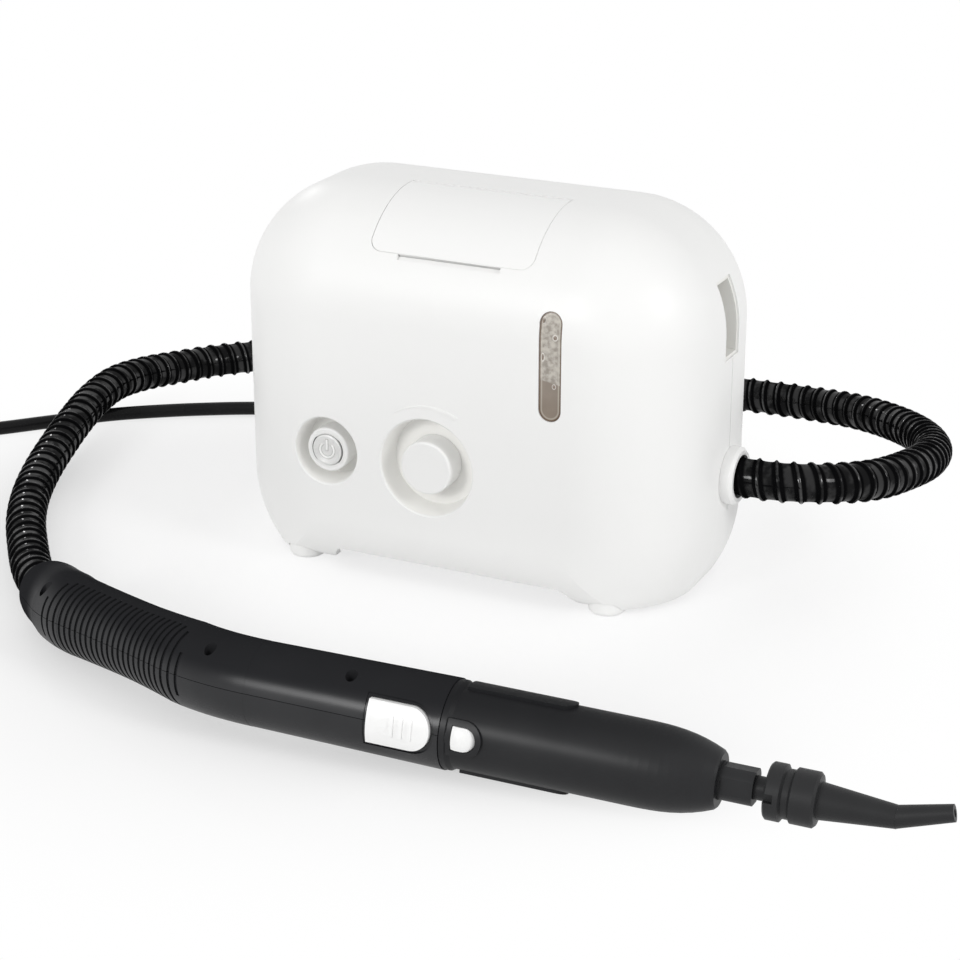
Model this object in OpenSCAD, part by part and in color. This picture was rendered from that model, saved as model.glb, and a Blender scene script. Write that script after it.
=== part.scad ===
// Portable steam cleaner: a rounded housing with a water tank, pump and boiler,
// a ribbed steam hose and a handset with a trigger, a barrel and a bent nozzle.
// Millimetres, +X right, -Y front, +Z up, origin on the floor under the middle of the housing.

/* [Housing] */
// Width of the housing
body_w = 240; // [225:1:270]
// Depth of the housing, front to back
body_d = 126; // [122:1:140]
// Height of the housing above the floor
body_h = 184; // [178:1:200]
// Rounding of the front and back edges
edge_r = 52; // [46:1:54]
// Corner radius of the front outline, top
top_r = 56; // [55:1:62]
// Corner radius of the front outline, bottom
low_r = 68; // [62:1:72]
// How far the bottom outline would run below the floor
low_drop = 28; // [24:1:30]
// Rounding under the front and back faces
skirt_r = 30; // [26:1:34]
// Height at which that rounding starts
skirt_z = 28; // [25:1:30]
// Wall of the shells
wall = 2.8; // [2:0.1:3.2]
// Plane where the front and rear shells meet
split_y = 3; // [2:0.5:5]
// Lowest edge of the shells above the floor
base_z = 3; // [2.5:0.5:4]
// Top of the arch between the feet
arch_z = 11; // [9:0.2:11.4]
// Width of the arch between the feet
arch_w = 115; // [108:1:118]
// Sideways place of the arch's middle
arch_x = 2.5; // [0:0.5:4]

/* [Feet] */
// Distance of the feet from the middle, sideways
foot_x = 80; // [76:0.5:83]
// Distance of the feet from the middle, front and back
foot_y = 45; // [43:0.5:46]
// Radius of a foot
foot_r = 9; // [8:0.5:9.5]
// Height of a foot
foot_h = 12.2; // [12:0.2:13]

/* [Lid] */
// Width of the tank lid
lid_w = 82; // [76:1:88]
// Sideways place of the lid's middle
lid_x = 2.5; // [0:0.5:4]
// Angle of the lid's front edge, from the top of the edge rounding
lid_angle = 54.8; // [50:0.2:58]
// Thickness of the lid
lid_t = 2.5; // [2:0.1:3]
// Corner radius of the lid's front corners
lid_corner_r = 6; // [4:0.5:10]
// Gap around the lid
lid_gap = 0.4; // [0.3:0.05:0.7]
// Radius of the hinge roll along the lid's rear edge
roll_r = 2; // [1.8:0.1:2.4]
// Width of the finger notch under the lid's front edge
notch_w = 52; // [40:1:58]
// Height of the finger notch
notch_h = 3; // [2.4:0.2:3.6]
// Depth of the finger notch
notch_depth = 1.7; // [1.2:0.1:2]

/* [Controls] */
// Steam knob: sideways place
knob_x = -5.5; // [-9:0.5:-3]
// Height of the steam knob and the power button
control_z = 62.7; // [60:0.5:64]
// Radius of the knob
knob_r = 13; // [11:0.5:15]
// Rim radius of the knob's recess
knob_well_r = 23.9; // [21:0.5:24.5]
// Power button: sideways place
power_x = -58.7; // [-62:0.5:-56]
// Radius of the power button
power_r = 8.4; // [7.4:0.2:9]
// Rim radius of the power button's recess
power_well_r = 16.7; // [15:0.5:18]
// Depth of both recesses
well_depth = 12; // [10:0.5:13]
// Travel of the power button
power_travel = 1.8; // [1.2:0.2:2.4]

/* [Level window] */
// Sideways place of the window
window_x = 57.2; // [54:0.2:59]
// Height of the window's middle
window_z = 121.3; // [119:0.5:124]
// Width of the window
window_w = 11; // [9:0.5:13]
// Length of the window
window_h = 51.4; // [46:0.5:54]

/* [Strap slots] */
// Middle of the slots, front to back
slot_y = 1.5; // [0:0.5:3]
// Width of a slot
slot_w = 17; // [14:0.5:19]
// Lower end of a slot
slot_low = 116; // [112:1:118]
// Upper end of a slot
slot_high = 153; // [148:1:155]
// Radius of the strap bar
bar_r = 2.2; // [1.8:0.1:2.6]

/* [Hose and cord] */
// Outside diameter of the steam hose over its ribs
hose_d = 20; // [18:0.5:20]
// Pitch of the hose ribs
rib_pitch = 8.4; // [8:0.2:11]
// Height of a hose rib
rib_h = 1.1; // [0.7:0.1:1.4]
// Bore of the steam hose
hose_bore = 13; // [10:0.5:14]
// Outside diameter of the hose collar on the housing
collar_d = 27.5; // [26:0.5:29]
// Diameter of the mains cord
cord_d = 7.5; // [6.5:0.1:7.5]

/* [Handset] */
// Outside radius of the handle at the barrel
handle_r = 19; // [18.4:0.2:19.2]
// Radius of the handle in its first bend
bend_tube_r = 18.2; // [17.4:0.2:18.4]
// Wall of the handle halves
handle_wall = 3.4; // [3:0.1:3.6]
// Straight length of the handle behind the barrel
neck_len = 86; // [84:1:88]
// Radius of the handle's bend
bend_r = 90; // [84:1:96]
// Angle of the handle's bend
bend_angle = 24.6; // [24:0.2:25.2]
// Length of the ribbed grip
grip_len = 72.4; // [71:0.2:74]
// Radius of the grip at its waist
grip_waist_r = 16.9; // [16:0.1:17.2]
// Radius of the grip's rear end
grip_end_r = 17.4; // [16.8:0.1:17.6]
// Number of grooves between the grip ribs
grip_ribs = 25; // [20:1:28]
// Depth of the grooves between the grip ribs
groove_depth = 0.9; // [0.6:0.1:1.1]
// Length of the barrel
barrel_len = 112; // [106:1:116]
// Radius of the barrel
barrel_r = 17.5; // [17:0.1:17.8]
// Radius of the barrel's front end
barrel_front_r = 12; // [11:0.5:13]
// Length of the trigger pad
trigger_len = 28; // [24:1:30]
// Width of the trigger pad
trigger_w = 19; // [16:1:20]
// Travel of the trigger
trigger_travel = 2.4; // [1.6:0.2:2.6]
// Travel of the release button
release_travel = 2; // [1.4:0.2:2.2]
// Radius of the nozzle's collar
nozzle_r = 11.5; // [10.5:0.5:12.5]
// Bend of the nozzle's tip
tip_angle = 16; // [8:1:25]

/* [Hidden] */
$fn = 64;

white = "whitesmoke";
black = [0.06, 0.06, 0.065];
clear = 0.3;            // gap between pieces that pass each other
slack = 0.1;            // gap of pieces that sit in each other
far = 400;              // longer than anything that is cut

// Places worked out from the housing's sizes
half_w = body_w / 2;
half_d = body_d / 2;
top_cz = body_h - top_r;          // height of the top corner centres
low_cz = low_r - low_drop;        // height of the bottom corner centres
arc_y = half_d - edge_r;          // depth of the edge rounding's centre
arc_z = body_h - edge_r;          // height of the edge rounding's centre
roll_y = 1 - arc_y;               // hinge axis of the lid, depth
roll_z = body_h - roll_r - 0.15;  // hinge axis of the lid, height
lid_tilt = 38;                    // direction in which the lid's outline is cut
lid_front = edge_r * sin(lid_angle - lid_tilt);
pin_r = 0.9;
ear_w = 4;
plate_z = foot_h + 0.2;           // underside of the base plate
plate_t = 2.5;
arch_end = 9;                     // width of the arch's curved ends
arch_steps = 8;
well_taper = 2.2;                 // how much a recess narrows to its floor
well_wall = 2;
well_floor = -half_d + well_depth;
well_back = well_floor + well_wall;
collar_y = split_y + 1;
collar_z = 57.5;
collar_r = collar_d / 2;
collar_seat = half_w - 5;         // where the hose ends inside the collar
screw_x = half_w - 22;
screw_zs = [30, 100];
screw_boss_r = 5.5;
screw_head_y = half_d - 17;
gland_x = -62;
gland_z = 34;
seam_w = 0.6;                     // groove where the shells meet, along the sides
seam_depth = 0.6;

// Steam hose route, chosen by hand, from the collar to the handset
hose_route = [
    [half_w - 4.5, collar_y, collar_z], [140, 4.4, 57.5], [158, 11, 57], [172, 25, 54.8], [181, 46, 51],
    [186, 76, 46], [186.5, 108, 40], [180.5, 140, 34], [165.5, 172, 28], [143.5, 201, 22], [117, 223, 17],
    [85, 236, 13], [48, 240, 11], [5, 238, 10.5], [-45, 232, 10.5], [-95, 226, 10.5], [-145, 219, 10.5],
    [-195, 206, 10.5], [-232, 187, 10.5], [-257, 164, 10.6], [-271, 138, 12], [-277, 110, 15.6],
    [-277, 82, 18.6], [-272, 53, 18.8], [-264, 24, 17.4], [-255, -5, 15], [-244, -36, 12.6],
    [-230, -66, 11.4], [-213, -94, 11], [-193, -120.5, 10.7], [-174.5, -143, 11.6], [-159.4, -158.3, 13.4],
    [-143, -170.7, 15.6]
];
// Mains cord route, chosen by hand, from the gland to the coil
cord_route = [
    [gland_x, half_d - 2, gland_z], [-62, 78, 34], [-62, 95, 34], [-62.4, 104, 33.1], [-65, 116, 29.2],
    [-72, 130, 20.8], [-85, 142, 11],
    [-106, 147, 5.2], [-136, 142, 4], [-172, 130, 4], [-208, 114, 4], [-232, 100.5, 4], [-251, 88, 4],
    [-270, 73.5, 4], [-286, 58, 4], [-301, 42, 4], [-316, 25.5, 4], [-336, 3.5, 4.6], [-353.6, -15.6, 5.2]
];
// Put-away coil of the cord: one strand, two layers, spiralling in and out again
coil_c = [-389.5, 17];
coil_r0 = 48.4;
coil_start = -42.9;
coil_turns = 4.4;
coil_in = 2.25;
coil_step = 8;
coil_z = 5.2;
coil_rise = 8.2;
coil_rings = 24;
tail_len = 45;
tail_z = 7.6;
tail_steps = 6;

// Handset frame: X along the barrel, -Y the trigger side, Z up, origin at the joint of handle and barrel
hand_at = [85, -216.4, 20.5];
hand_turn = [-11.2, 2, 4.7];
port_angle = 18;                  // the hose leaves the handle at this angle to the grip
port_bend_r = 60;                 // radius of the bend before the hose port
port_len = 33.5;
port_end_r = 11.8;
port_seat = 9;
port_wall = 2;                    // floor of the hose's seat
axis_gap = 0.3;
trigger_x = -3 - trigger_w / 2;   // centre of the trigger's round end
trigger_flat = -3 - trigger_len;  // its flat end
release_x = 10.6;
release_w = 10.4;
release_flat = 5.4;
stub_len = 14;
neck_r = 4.8;
neck_end = barrel_len + 30;
collar_start = barrel_len + 19;
collar_end = barrel_len + 39;
cone_end = barrel_len + 69;
tip_len = 22.5;
tube_y = 6.5;                     // steam tube inside the handset
tube_r = 3.6;
stub_seat = 25;                   // how deep the outlet stub sits in the barrel
tip_r = 4.7;
tip_end_r = 3.5;
outlet_r = 1.7;

// General shapes

// Turns a profile drawn in depth and height into a bar along X
module x_bar(length) {
    rotate([90, 0, 90]) linear_extrude(length, center = true) children();
}
// A bar along Y from a drawing in width and height, from y0 to y1
module y_bar(y0, y1) {
    translate([0, y1, 0]) rotate([90, 0, 0]) linear_extrude(y1 - y0) children();
}
// A cylinder along X from x0 to x1
module x_rod(x0, x1, r0, r1) {
    translate([x0, 0, 0]) rotate([0, 90, 0]) cylinder(h = x1 - x0, r1 = r0, r2 = is_undef(r1) ? r0 : r1);
}
// A cylinder along Y from y0 to y1
module y_rod(y0, y1, r0, r1) {
    translate([0, y0, 0]) rotate([-90, 0, 0]) cylinder(h = y1 - y0, r1 = r0, r2 = is_undef(r1) ? r0 : r1);
}
// Stadium outline, upright
module stadium(w, h) {
    square([w, h - w], center = true);
    for (s = [-1, 1]) translate([0, s * (h - w) / 2]) circle(d = w);
}
// D outline: flat on the left at x0, round on the right about x1
module d_outline(x0, x1, w) {
    translate([x0, -w / 2]) square([x1 - x0, w]);
    translate([x1, 0]) circle(d = w);
}
function unit(v) = v / norm(v);
// A smooth curve through a list of points
function spline_at(p, i, t) =
    let(a = p[max(i - 1, 0)], b = p[i], c = p[i + 1], d = p[min(i + 2, len(p) - 1)])
    0.5 * (2 * b + (c - a) * t + (2 * a - 5 * b + 4 * c - d) * t * t + (3 * b - a - 3 * c + d) * t * t * t);
function spline(p, n) = [
    for (i = [0:len(p) - 2]) for (k = [0:n - 1]) spline_at(p, i, k / n), p[len(p) - 1]
];
function run_lengths(p) = [for (i = 0, s = 0; i < len(p); s = s + norm(p[min(i + 1, len(p) - 1)] - p[i]), i = i + 1) s];
// The point at a distance along a line of points
function along(p, s, d) =
    let(hits = [for (i = [0:len(p) - 2]) if (s[i + 1] >= d) i], i = len(hits) > 0 ? hits[0] : len(p) - 2)
    p[i] + (p[i + 1] - p[i]) * (d - s[i]) / (s[i + 1] - s[i]);
function tangents(p) = [
    for (i = [0:len(p) - 1]) unit(p[min(i + 1, len(p) - 1)] - p[max(i - 1, 0)])
];
// Rings of a tube: points p, a radius for each, and the number of sides
function tube_rings(p, r, sides) =
    let(t = tangents(p)) [
        for (i = [0:len(p) - 1])
            let(u = unit(cross(t[i], [0, 0, 1])), v = cross(u, t[i]))
            for (k = [0:sides - 1]) p[i] + r[i] * (u * cos(360 * k / sides) + v * sin(360 * k / sides))
    ];
// Triangles of a tube's wall between its rings, starting at point base
function tube_wall(rings, sides, base, inward) = [
    for (i = [0:rings - 2]) for (k = [0:sides - 1])
        let(a = base + i * sides + k, b = base + i * sides + (k + 1) % sides, c = a + sides, d = b + sides)
        for (f = inward ? [[a, b, c], [b, d, c]] : [[a, c, b], [b, c, d]]) f
];
// A solid tube along points
module solid_tube(p, r, sides) {
    n = len(p);
    radii = [for (i = [0:n - 1]) r];
    cap0 = [for (k = [1:sides - 2]) [0, k, k + 1]];
    last = (n - 1) * sides;
    cap1 = [for (k = [1:sides - 2]) [last, last + k + 1, last + k]];
    polyhedron(tube_rings(p, radii, sides), concat(tube_wall(n, sides, 0, false), cap0, cap1));
}

// Housing

// Section of the housing's edge, at rc from the corner's centre, drawn as radius and depth
module edge_section(rc, inset) {
    e = edge_r - inset;
    intersection() {
        union() {
            translate([0, -half_d + inset]) square([rc - edge_r, body_d - 2 * inset]);
            translate([0, -arc_y]) square([rc - inset, 2 * arc_y]);
            for (s = [-1, 1]) translate([rc - edge_r, s * arc_y]) circle(e);
        }
        translate([0, -half_d]) square([rc, body_d]);
    }
}
// Outline of the housing seen from the side, as depth and height
module dome_profile(inset) {
    translate([-half_d + inset, 0]) square([body_d - 2 * inset, arc_z]);
    translate([-arc_y, 0]) square([2 * arc_y, body_h - inset]);
    for (s = [-1, 1]) translate([s * arc_y, arc_z]) circle(edge_r - inset);
}
// What the rounding under the front face takes away, as depth and height
module skirt_cut(inset) {
    difference() {
        translate([-half_d - far, -far]) square([far + skirt_r, far + skirt_z]);
        translate([-half_d + skirt_r, skirt_z]) circle(skirt_r - inset);
        translate([-half_d + skirt_r, 0]) square([far, far]);
    }
}
// The housing as a solid, drawn in by inset all round
module body_solid(inset) {
    difference() {
        union() {
            for (s = [0, 1]) mirror([s, 0, 0]) {
                translate([half_w - top_r, 0, top_cz]) rotate([90, 0, 0])
                    rotate_extrude(angle = 90) edge_section(top_r, inset);
                translate([half_w - low_r, 0, low_cz]) mirror([0, 0, 1]) rotate([90, 0, 0])
                    rotate_extrude(angle = 90) edge_section(low_r, inset);
                translate([half_w - top_r, 0, low_cz])
                    linear_extrude(top_cz - low_cz) edge_section(top_r, inset);
            }
            translate([half_w - top_r, 0, top_cz]) rotate([0, -90, 0])
                linear_extrude(2 * (half_w - top_r)) edge_section(top_r, inset);
            translate([half_w - low_r, 0, low_cz]) mirror([0, 0, 1]) rotate([0, -90, 0])
                linear_extrude(2 * (half_w - low_r)) edge_section(low_r, inset);
            translate([-(half_w - top_r), -half_d + inset, low_cz])
                cube([2 * (half_w - top_r), body_d - 2 * inset, top_cz - low_cz]);
        }
        for (s = [0, 1]) mirror([0, s, 0]) x_bar(far) skirt_cut(inset);
        translate([-far / 2, -far / 2, base_z - far]) cube(far);
    }
}
module body_shell() {
    difference() {
        body_solid(0);
        difference() {
            body_solid(wall);
            translate([-far / 2, -far / 2, -far + base_z - 1]) cube([far, far, far]);
        }
        translate([0, 0, base_z - 1]) cube([far, far, 0.001], center = true);
    }
}
// Outline of the lid, cut square to the surface, grown by g
module lid_prism(g) {
    r = lid_corner_r + g;
    w = lid_w + 2 * g;
    front = -lid_front - g;
    translate([lid_x, -arc_y, arc_z]) rotate([lid_tilt, 0, 0]) linear_extrude(far / 4) {
        translate([-w / 2 + r, front]) square([w - 2 * r, far / 4]);
        translate([-w / 2, front + r]) square([w, far / 4 - r]);
        for (s = [-1, 1]) translate([s * (w / 2 - r), front + r]) circle(r);
    }
}
module behind(y) {
    translate([-far / 2, y, -far / 2]) cube(far);
}
// Recess of a control, at a place on the front, with its rim broken
module well(x, r) {
    translate([x, 0, control_z]) {
        y_rod(-half_d - 1, well_floor, r + well_taper / well_depth, r - well_taper);
        y_rod(-half_d - 1, -half_d + 1, r + 1.6, r - 0.4);
    }
}
module well_cup(x, r) {
    translate([x, 0, control_z]) y_rod(-half_d + 1, well_back, r + well_wall, r - well_taper + well_wall);
}
module screw_places() {
    for (x = [-screw_x, screw_x], z = screw_zs) translate([x, 0, z]) children();
}
module strap_cut(g) {
    for (s = [-1, 1])
        translate([s * (half_w - 10), slot_y, (slot_low + slot_high) / 2])
            cube([40, slot_w + 2 * g, slot_high - slot_low + 2 * g], center = true);
}
// Height of the arch's curved ends, from 0 at the shells' lowest edge to 1 at its top
function arch_line(u) = base_z - 1 + (arch_z - base_z + 1) * (1 - cos(180 * u)) / 2;
// What both shells are cut by: arch, feet, hose collar, strap slots
module shell_cuts() {
    translate([arch_x, 0, 0]) y_bar(-far, far) polygon(concat(
        [for (i = [0:arch_steps]) [-arch_w / 2 - arch_end * (1 - i / arch_steps), arch_line(i / arch_steps)]],
        [for (i = [0:arch_steps]) [arch_w / 2 + arch_end * i / arch_steps, arch_line(1 - i / arch_steps)]]
    ));
    for (x = [-foot_x, foot_x], y = [-foot_y, foot_y])
        translate([x, y, -1]) cylinder(h = foot_h + 1 + clear, r = foot_r + clear);
    translate([0, collar_y, collar_z]) x_rod(half_w - 20, half_w + 20, collar_r - 2 + slack);
    strap_cut(0);
    for (s = [-1, 1]) translate([s * (half_w + 5 - seam_depth), split_y, (low_cz + slot_low + 1) / 2])
        cube([10, seam_w, slot_low + 1 - low_cz], center = true);
}
module front_shell() {
    color(white) difference() {
        union() {
            intersection() {
                body_shell();
                translate([-far / 2, split_y - far, -far / 2]) cube(far);
            }
            well_cup(knob_x, knob_well_r);
            well_cup(power_x, power_well_r);
            intersection() {
                screw_places() y_rod(-half_d, split_y, screw_boss_r);
                body_solid(wall / 2);
            }
            for (s = [-1, 1]) translate([lid_x + s * (lid_w / 2 + lid_gap + ear_w / 2 - 1), roll_y, roll_z - roll_r])
                cube([ear_w + 2, 4 * roll_r, 2 * roll_r], center = true);
        }
        difference() {
            lid_prism(lid_gap);
            behind(roll_y + roll_r + clear);
        }
        intersection() {
            lid_prism(notch_h);
            difference() {
                translate([lid_x - notch_w / 2, -far / 2, 0]) cube([notch_w, far / 2 - arc_y, far]);
                x_bar(far) dome_profile(notch_depth);
            }
        }
        translate([lid_x, roll_y, roll_z]) x_rod(-lid_w / 2 - ear_w, lid_w / 2 + ear_w, pin_r + 0.05);
        well(knob_x, knob_well_r);
        well(power_x, power_well_r);
        translate([knob_x, 0, control_z]) y_rod(well_floor - 1, well_back + 1, 3 + slack);
        translate([power_x, 0, control_z]) y_rod(well_floor - 1, well_back + 1, 5);
        translate([window_x, 0, window_z]) y_bar(-far, -half_d + 12) stadium(window_w + 2 * slack, window_h + 2 * slack);
        screw_places() y_rod(-8, far / 2, 1.6);
        shell_cuts();
    }
}
module rear_shell() {
    color(white) difference() {
        union() {
            intersection() {
                body_shell();
                behind(split_y);
            }
            intersection() {
                screw_places() y_rod(split_y, half_d, screw_boss_r);
                body_solid(wall / 2);
            }
        }
        screw_places() {
            y_rod(0, far / 2, 1.6);
            y_rod(screw_head_y, far / 2, 3.7);
        }
        translate([gland_x, 0, gland_z]) y_rod(half_d - 10, half_d + 10, 6.2);
        shell_cuts();
    }
}
module shell_screws() {
    color("silver") screw_places() difference() {
        union() {
            y_rod(-6, screw_head_y + 0.1, 1.5);
            y_rod(screw_head_y, screw_head_y + 2.4, 3.3);
        }
        for (a = [0, 90]) rotate([0, a, 0])
            translate([-2, screw_head_y + 1.4, -0.4]) cube([4, 2, 0.8]);
    }
}
boiler_x0 = 10;
boiler_x1 = 80;
boiler_r = 24;
boiler_y = 4;
boiler_z = 47;
pump_x0 = -90;
pump_x1 = -40;
pump_r = 13;
pump_y = -6;
pump_z = 40;
board_x = -90;
board_y = half_d - 37;
board_w = 64;
board_t = 1.6;
board_h = 46;
// Floor of the housing, with air slots and the saddles that carry the boiler and the pump
module base_plate() {
    color([0.75, 0.75, 0.73]) difference() {
        union() {
            intersection() {
                body_solid(wall + clear);
                translate([-far / 2, -far / 2, plate_z]) cube([far, far, plate_t]);
            }
            for (x = [boiler_x0 + 14, boiler_x1 - 14]) translate([x - 4, boiler_y - 16, plate_z + plate_t / 2])
                cube([8, 32, boiler_z - boiler_r * 0.8 - plate_z]);
            for (x = [pump_x0 + 10, pump_x1 - 10]) translate([x - 3, pump_y - 9, plate_z + plate_t / 2])
                cube([6, 18, pump_z - pump_r * 0.8 - plate_z]);
        }
        translate([0, boiler_y, boiler_z]) x_rod(boiler_x0 - 5, boiler_x1 + 5, boiler_r + slack);
        translate([0, pump_y, pump_z]) x_rod(pump_x0 - 5, pump_x1 + 5, pump_r + slack);
        for (x = [-30:12:30]) translate([x - 15, 30, 0]) linear_extrude(far / 10) stadium(5, 26);
        screw_places() y_rod(-far / 2, far / 2, screw_boss_r + clear);
    }
}
module feet() {
    color(white) for (x = [-foot_x, foot_x], y = [-foot_y, foot_y]) translate([x, y, 0])
        rotate_extrude() polygon([
            [0, 0], [foot_r - 2, 0], [foot_r - 1, 0.3], [foot_r - 0.3, 1], [foot_r, 2], [foot_r, foot_h - 1],
            [foot_r - 1, foot_h], [0, foot_h]
        ]);
}
// Section of the lid: a curved plate with the hinge roll along its rear edge, as depth and height
module lid_section() {
    difference() {
        union() {
            intersection() {
                difference() {
                    dome_profile(0);
                    dome_profile(lid_t);
                }
                translate([-half_d, arc_z]) square([half_d + roll_y, far]);
            }
            translate([roll_y, roll_z]) circle(roll_r);
        }
        translate([roll_y, roll_z]) circle(pin_r + 0.05);
    }
}
module lid() {
    color(white) intersection() {
        translate([lid_x, 0, 0]) x_bar(lid_w + 2) lid_section();
        lid_prism(0);
    }
}
module lid_pin() {
    color("silver") translate([lid_x, roll_y, roll_z]) x_rod(-lid_w / 2 - ear_w + 0.5, lid_w / 2 + ear_w - 0.5, pin_r);
}
tank_x0 = -48;
tank_x1 = 66;
tank_y1 = -4;
tank_z0 = 91;
tank_z1 = 158;
tank_t = 2;
mouth_x = 34;
mouth_y0 = -43;
mouth_y1 = -roll_r - 13;
tank_spout = 4;                   // the tank's outlet, below its floor
inlet_x = tank_x0 + 10;           // where the water goes down into the pump
inlet_y = -4;
inlet_rise = 3;
pump_snout = 8;                   // the pump's outlet toward the boiler
// Box of the tank, inside the front of the housing, drawn in by g
module tank_box(g) {
    intersection() {
        translate([tank_x0 + g, -half_d, tank_z0 + g])
            cube([tank_x1 - tank_x0 - 2 * g, half_d + tank_y1 - g, tank_z1 - tank_z0 - 2 * g]);
        x_bar(far) dome_profile(wall + 0.8 + g);
    }
}
module tank_mouth(g, z0) {
    translate([-mouth_x - g, mouth_y0 - g, z0]) cube([2 * (mouth_x + g), mouth_y1 - mouth_y0 + 2 * g, far / 4]);
}
module water_tank() {
    color([0.78, 0.75, 0.70]) difference() {
        union() {
            tank_box(0);
            intersection() {
                tank_mouth(tank_t, tank_z1 - 10);
                x_bar(far) dome_profile(lid_t + 0.6);
            }
            translate([inlet_x, pump_y + inlet_y, tank_z0 - tank_spout]) cylinder(h = tank_spout + 1, r = 6);
        }
        tank_box(tank_t);
        tank_mouth(0, tank_z1 - 10);
        translate([inlet_x, pump_y + inlet_y, tank_z0 - tank_spout - 1]) cylinder(h = tank_spout + 6, r = 2.6);
    }
}
module tank_window() {
    color([0.45, 0.40, 0.35, 0.6]) intersection() {
        translate([window_x, 0, window_z]) y_bar(-far, -half_d + 12) stadium(window_w, window_h);
        x_bar(far) difference() {
            dome_profile(0.6);
            dome_profile(wall + 0.7);
        }
    }
}
bezel_wall = 2.2;
bezel_front = -half_d + 2;
module power_bezel() {
    r = power_r + clear + bezel_wall;
    color(white) translate([power_x, 0, control_z]) rotate([90, 0, 0]) translate([0, 0, -well_floor])
        rotate_extrude() translate([power_r + clear, 0]) {
            square([bezel_wall, well_floor - bezel_front - 1]);
            translate([bezel_wall / 2, well_floor - bezel_front - 1]) circle(bezel_wall / 2);
        }
}
module power_button() {
    face = bezel_front + 0.6;
    color([0.86, 0.87, 0.88]) translate([power_x, 0, control_z]) {
        y_rod(face + 0.5, well_floor - power_travel - clear, power_r);
        y_rod(face, face + 0.5, power_r - 0.5, power_r);
        y_rod(face + 1, well_back + clear, 4.6);
    }
}
module power_switch() {
    color("dimgray") translate([power_x, 0, control_z]) difference() {
        union() {
            y_rod(well_back, well_back + 15, 9.5);
            for (s = [-1, 1]) translate([s * 5 - 0.4, well_back + 14, -2.4]) cube([0.8, 9, 4.8]);
        }
        y_rod(well_back - 1, well_back + clear + power_travel + clear, 5);
    }
}
shaft_r = 3;
regulator_y = well_back + clear;
module steam_knob() {
    color(white) translate([knob_x, 0, control_z]) {
        rotate([90, 0, 0]) translate([0, 0, -well_floor + clear]) rotate_extrude() {
            square([knob_r - 1.2, well_depth]);
            square([knob_r, well_depth - 1.2]);
            translate([knob_r - 1.2, well_depth - 1.2]) circle(1.2);
        }
        y_rod(well_floor - 2, regulator_y + 8, shaft_r);
    }
}
module steam_regulator() {
    color("dimgray") translate([knob_x, 0, control_z]) difference() {
        union() {
            translate([-14, regulator_y, -14]) cube([28, 14, 28]);
            for (s = [-1, 1]) translate([s * 8, regulator_y + 13, 0]) y_rod(0, 8, 2.5);
        }
        y_rod(regulator_y - 1, regulator_y + 8 + clear, shaft_r + 0.05);
    }
}
module control_board() {
    color("darkgreen") translate([board_x, board_y, plate_z + plate_t]) {
        cube([board_w, board_t, board_h]);
        translate([6, 1, 6]) cube([20, 15, 16]);
        translate([34, 1, 8]) cube([22, 11, 12]);
        for (x = [12, 30, 48]) translate([x, 1, 34]) y_rod(0, 12, 5);
    }
}
module pump() {
    color("slategray") translate([0, pump_y, pump_z]) {
        x_rod(pump_x0, pump_x1, pump_r);
        x_rod(pump_x1 - 1, pump_x1 + pump_snout, 5);
        translate([inlet_x, inlet_y, 0]) cylinder(h = pump_r + inlet_rise, r = 5);
    }
}
module boiler() {
    color("lightsteelblue") translate([0, boiler_y, boiler_z]) {
        x_rod(boiler_x0 + 5, boiler_x1 - 5, boiler_r);
        x_rod(boiler_x0, boiler_x0 + 5, boiler_r - 5, boiler_r);
        x_rod(boiler_x1 - 5, boiler_x1, boiler_r, boiler_r - 5);
        for (x = [30, 60]) translate([x, 0, 0]) cylinder(h = boiler_r + 2, r = 9);
    }
}
module thermostats() {
    color("gainsboro") for (x = [30, 60]) translate([x, boiler_y, boiler_z + boiler_r + 2]) {
        cylinder(h = 5, r = 8);
        cylinder(h = 7, r = 5);
    }
}
module water_tubes() {
    color("ivory") {
        translate([inlet_x, pump_y + inlet_y, pump_z + pump_r + inlet_rise]) difference() {
            cylinder(h = tank_z0 - tank_spout - pump_z - pump_r - inlet_rise, r = 4);
            translate([0, 0, -1]) cylinder(h = far / 4, r = 2.5);
        }
        translate([0, pump_y, pump_z]) difference() {
            x_rod(pump_x1 + pump_snout, boiler_x0, 3.5);
            x_rod(pump_x1, boiler_x0 + 1, 2);
        }
    }
}
module steam_pipe() {
    color("peru") translate([0, collar_y, collar_z]) difference() {
        x_rod(boiler_x1, collar_seat - 3, 4);
        x_rod(boiler_x1 - 1, half_w, 2.6);
    }
}
pocket_t = 1.5;
pocket_depth = 22;
bar_x = half_w - 9;
bar_z = slot_low + 17;
module strap_pockets() {
    mid = (slot_low + slot_high) / 2;
    high = slot_high - slot_low - 2 * slack;
    color([0.62, 0.60, 0.55]) for (s = [0, 1]) mirror([s, 0, 0]) difference() {
        intersection() {
            translate([half_w - pocket_depth, slot_y - slot_w / 2 + slack, mid - high / 2])
                cube([pocket_depth, slot_w - 2 * slack, high]);
            body_solid(0.8);
        }
        translate([half_w - pocket_depth + pocket_t, slot_y - slot_w / 2 + slack + pocket_t, mid - high / 2 + pocket_t])
            cube([pocket_depth, slot_w - 2 * slack - 2 * pocket_t, high - 2 * pocket_t]);
        translate([bar_x, 0, bar_z]) y_rod(-far / 2, far / 2, bar_r + 0.05);
    }
}
module strap_bars() {
    color("silver") for (s = [-1, 1]) translate([s * bar_x, slot_y, bar_z])
        y_rod(-slot_w / 2 + slack, slot_w / 2 - slack, bar_r);
}
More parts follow.
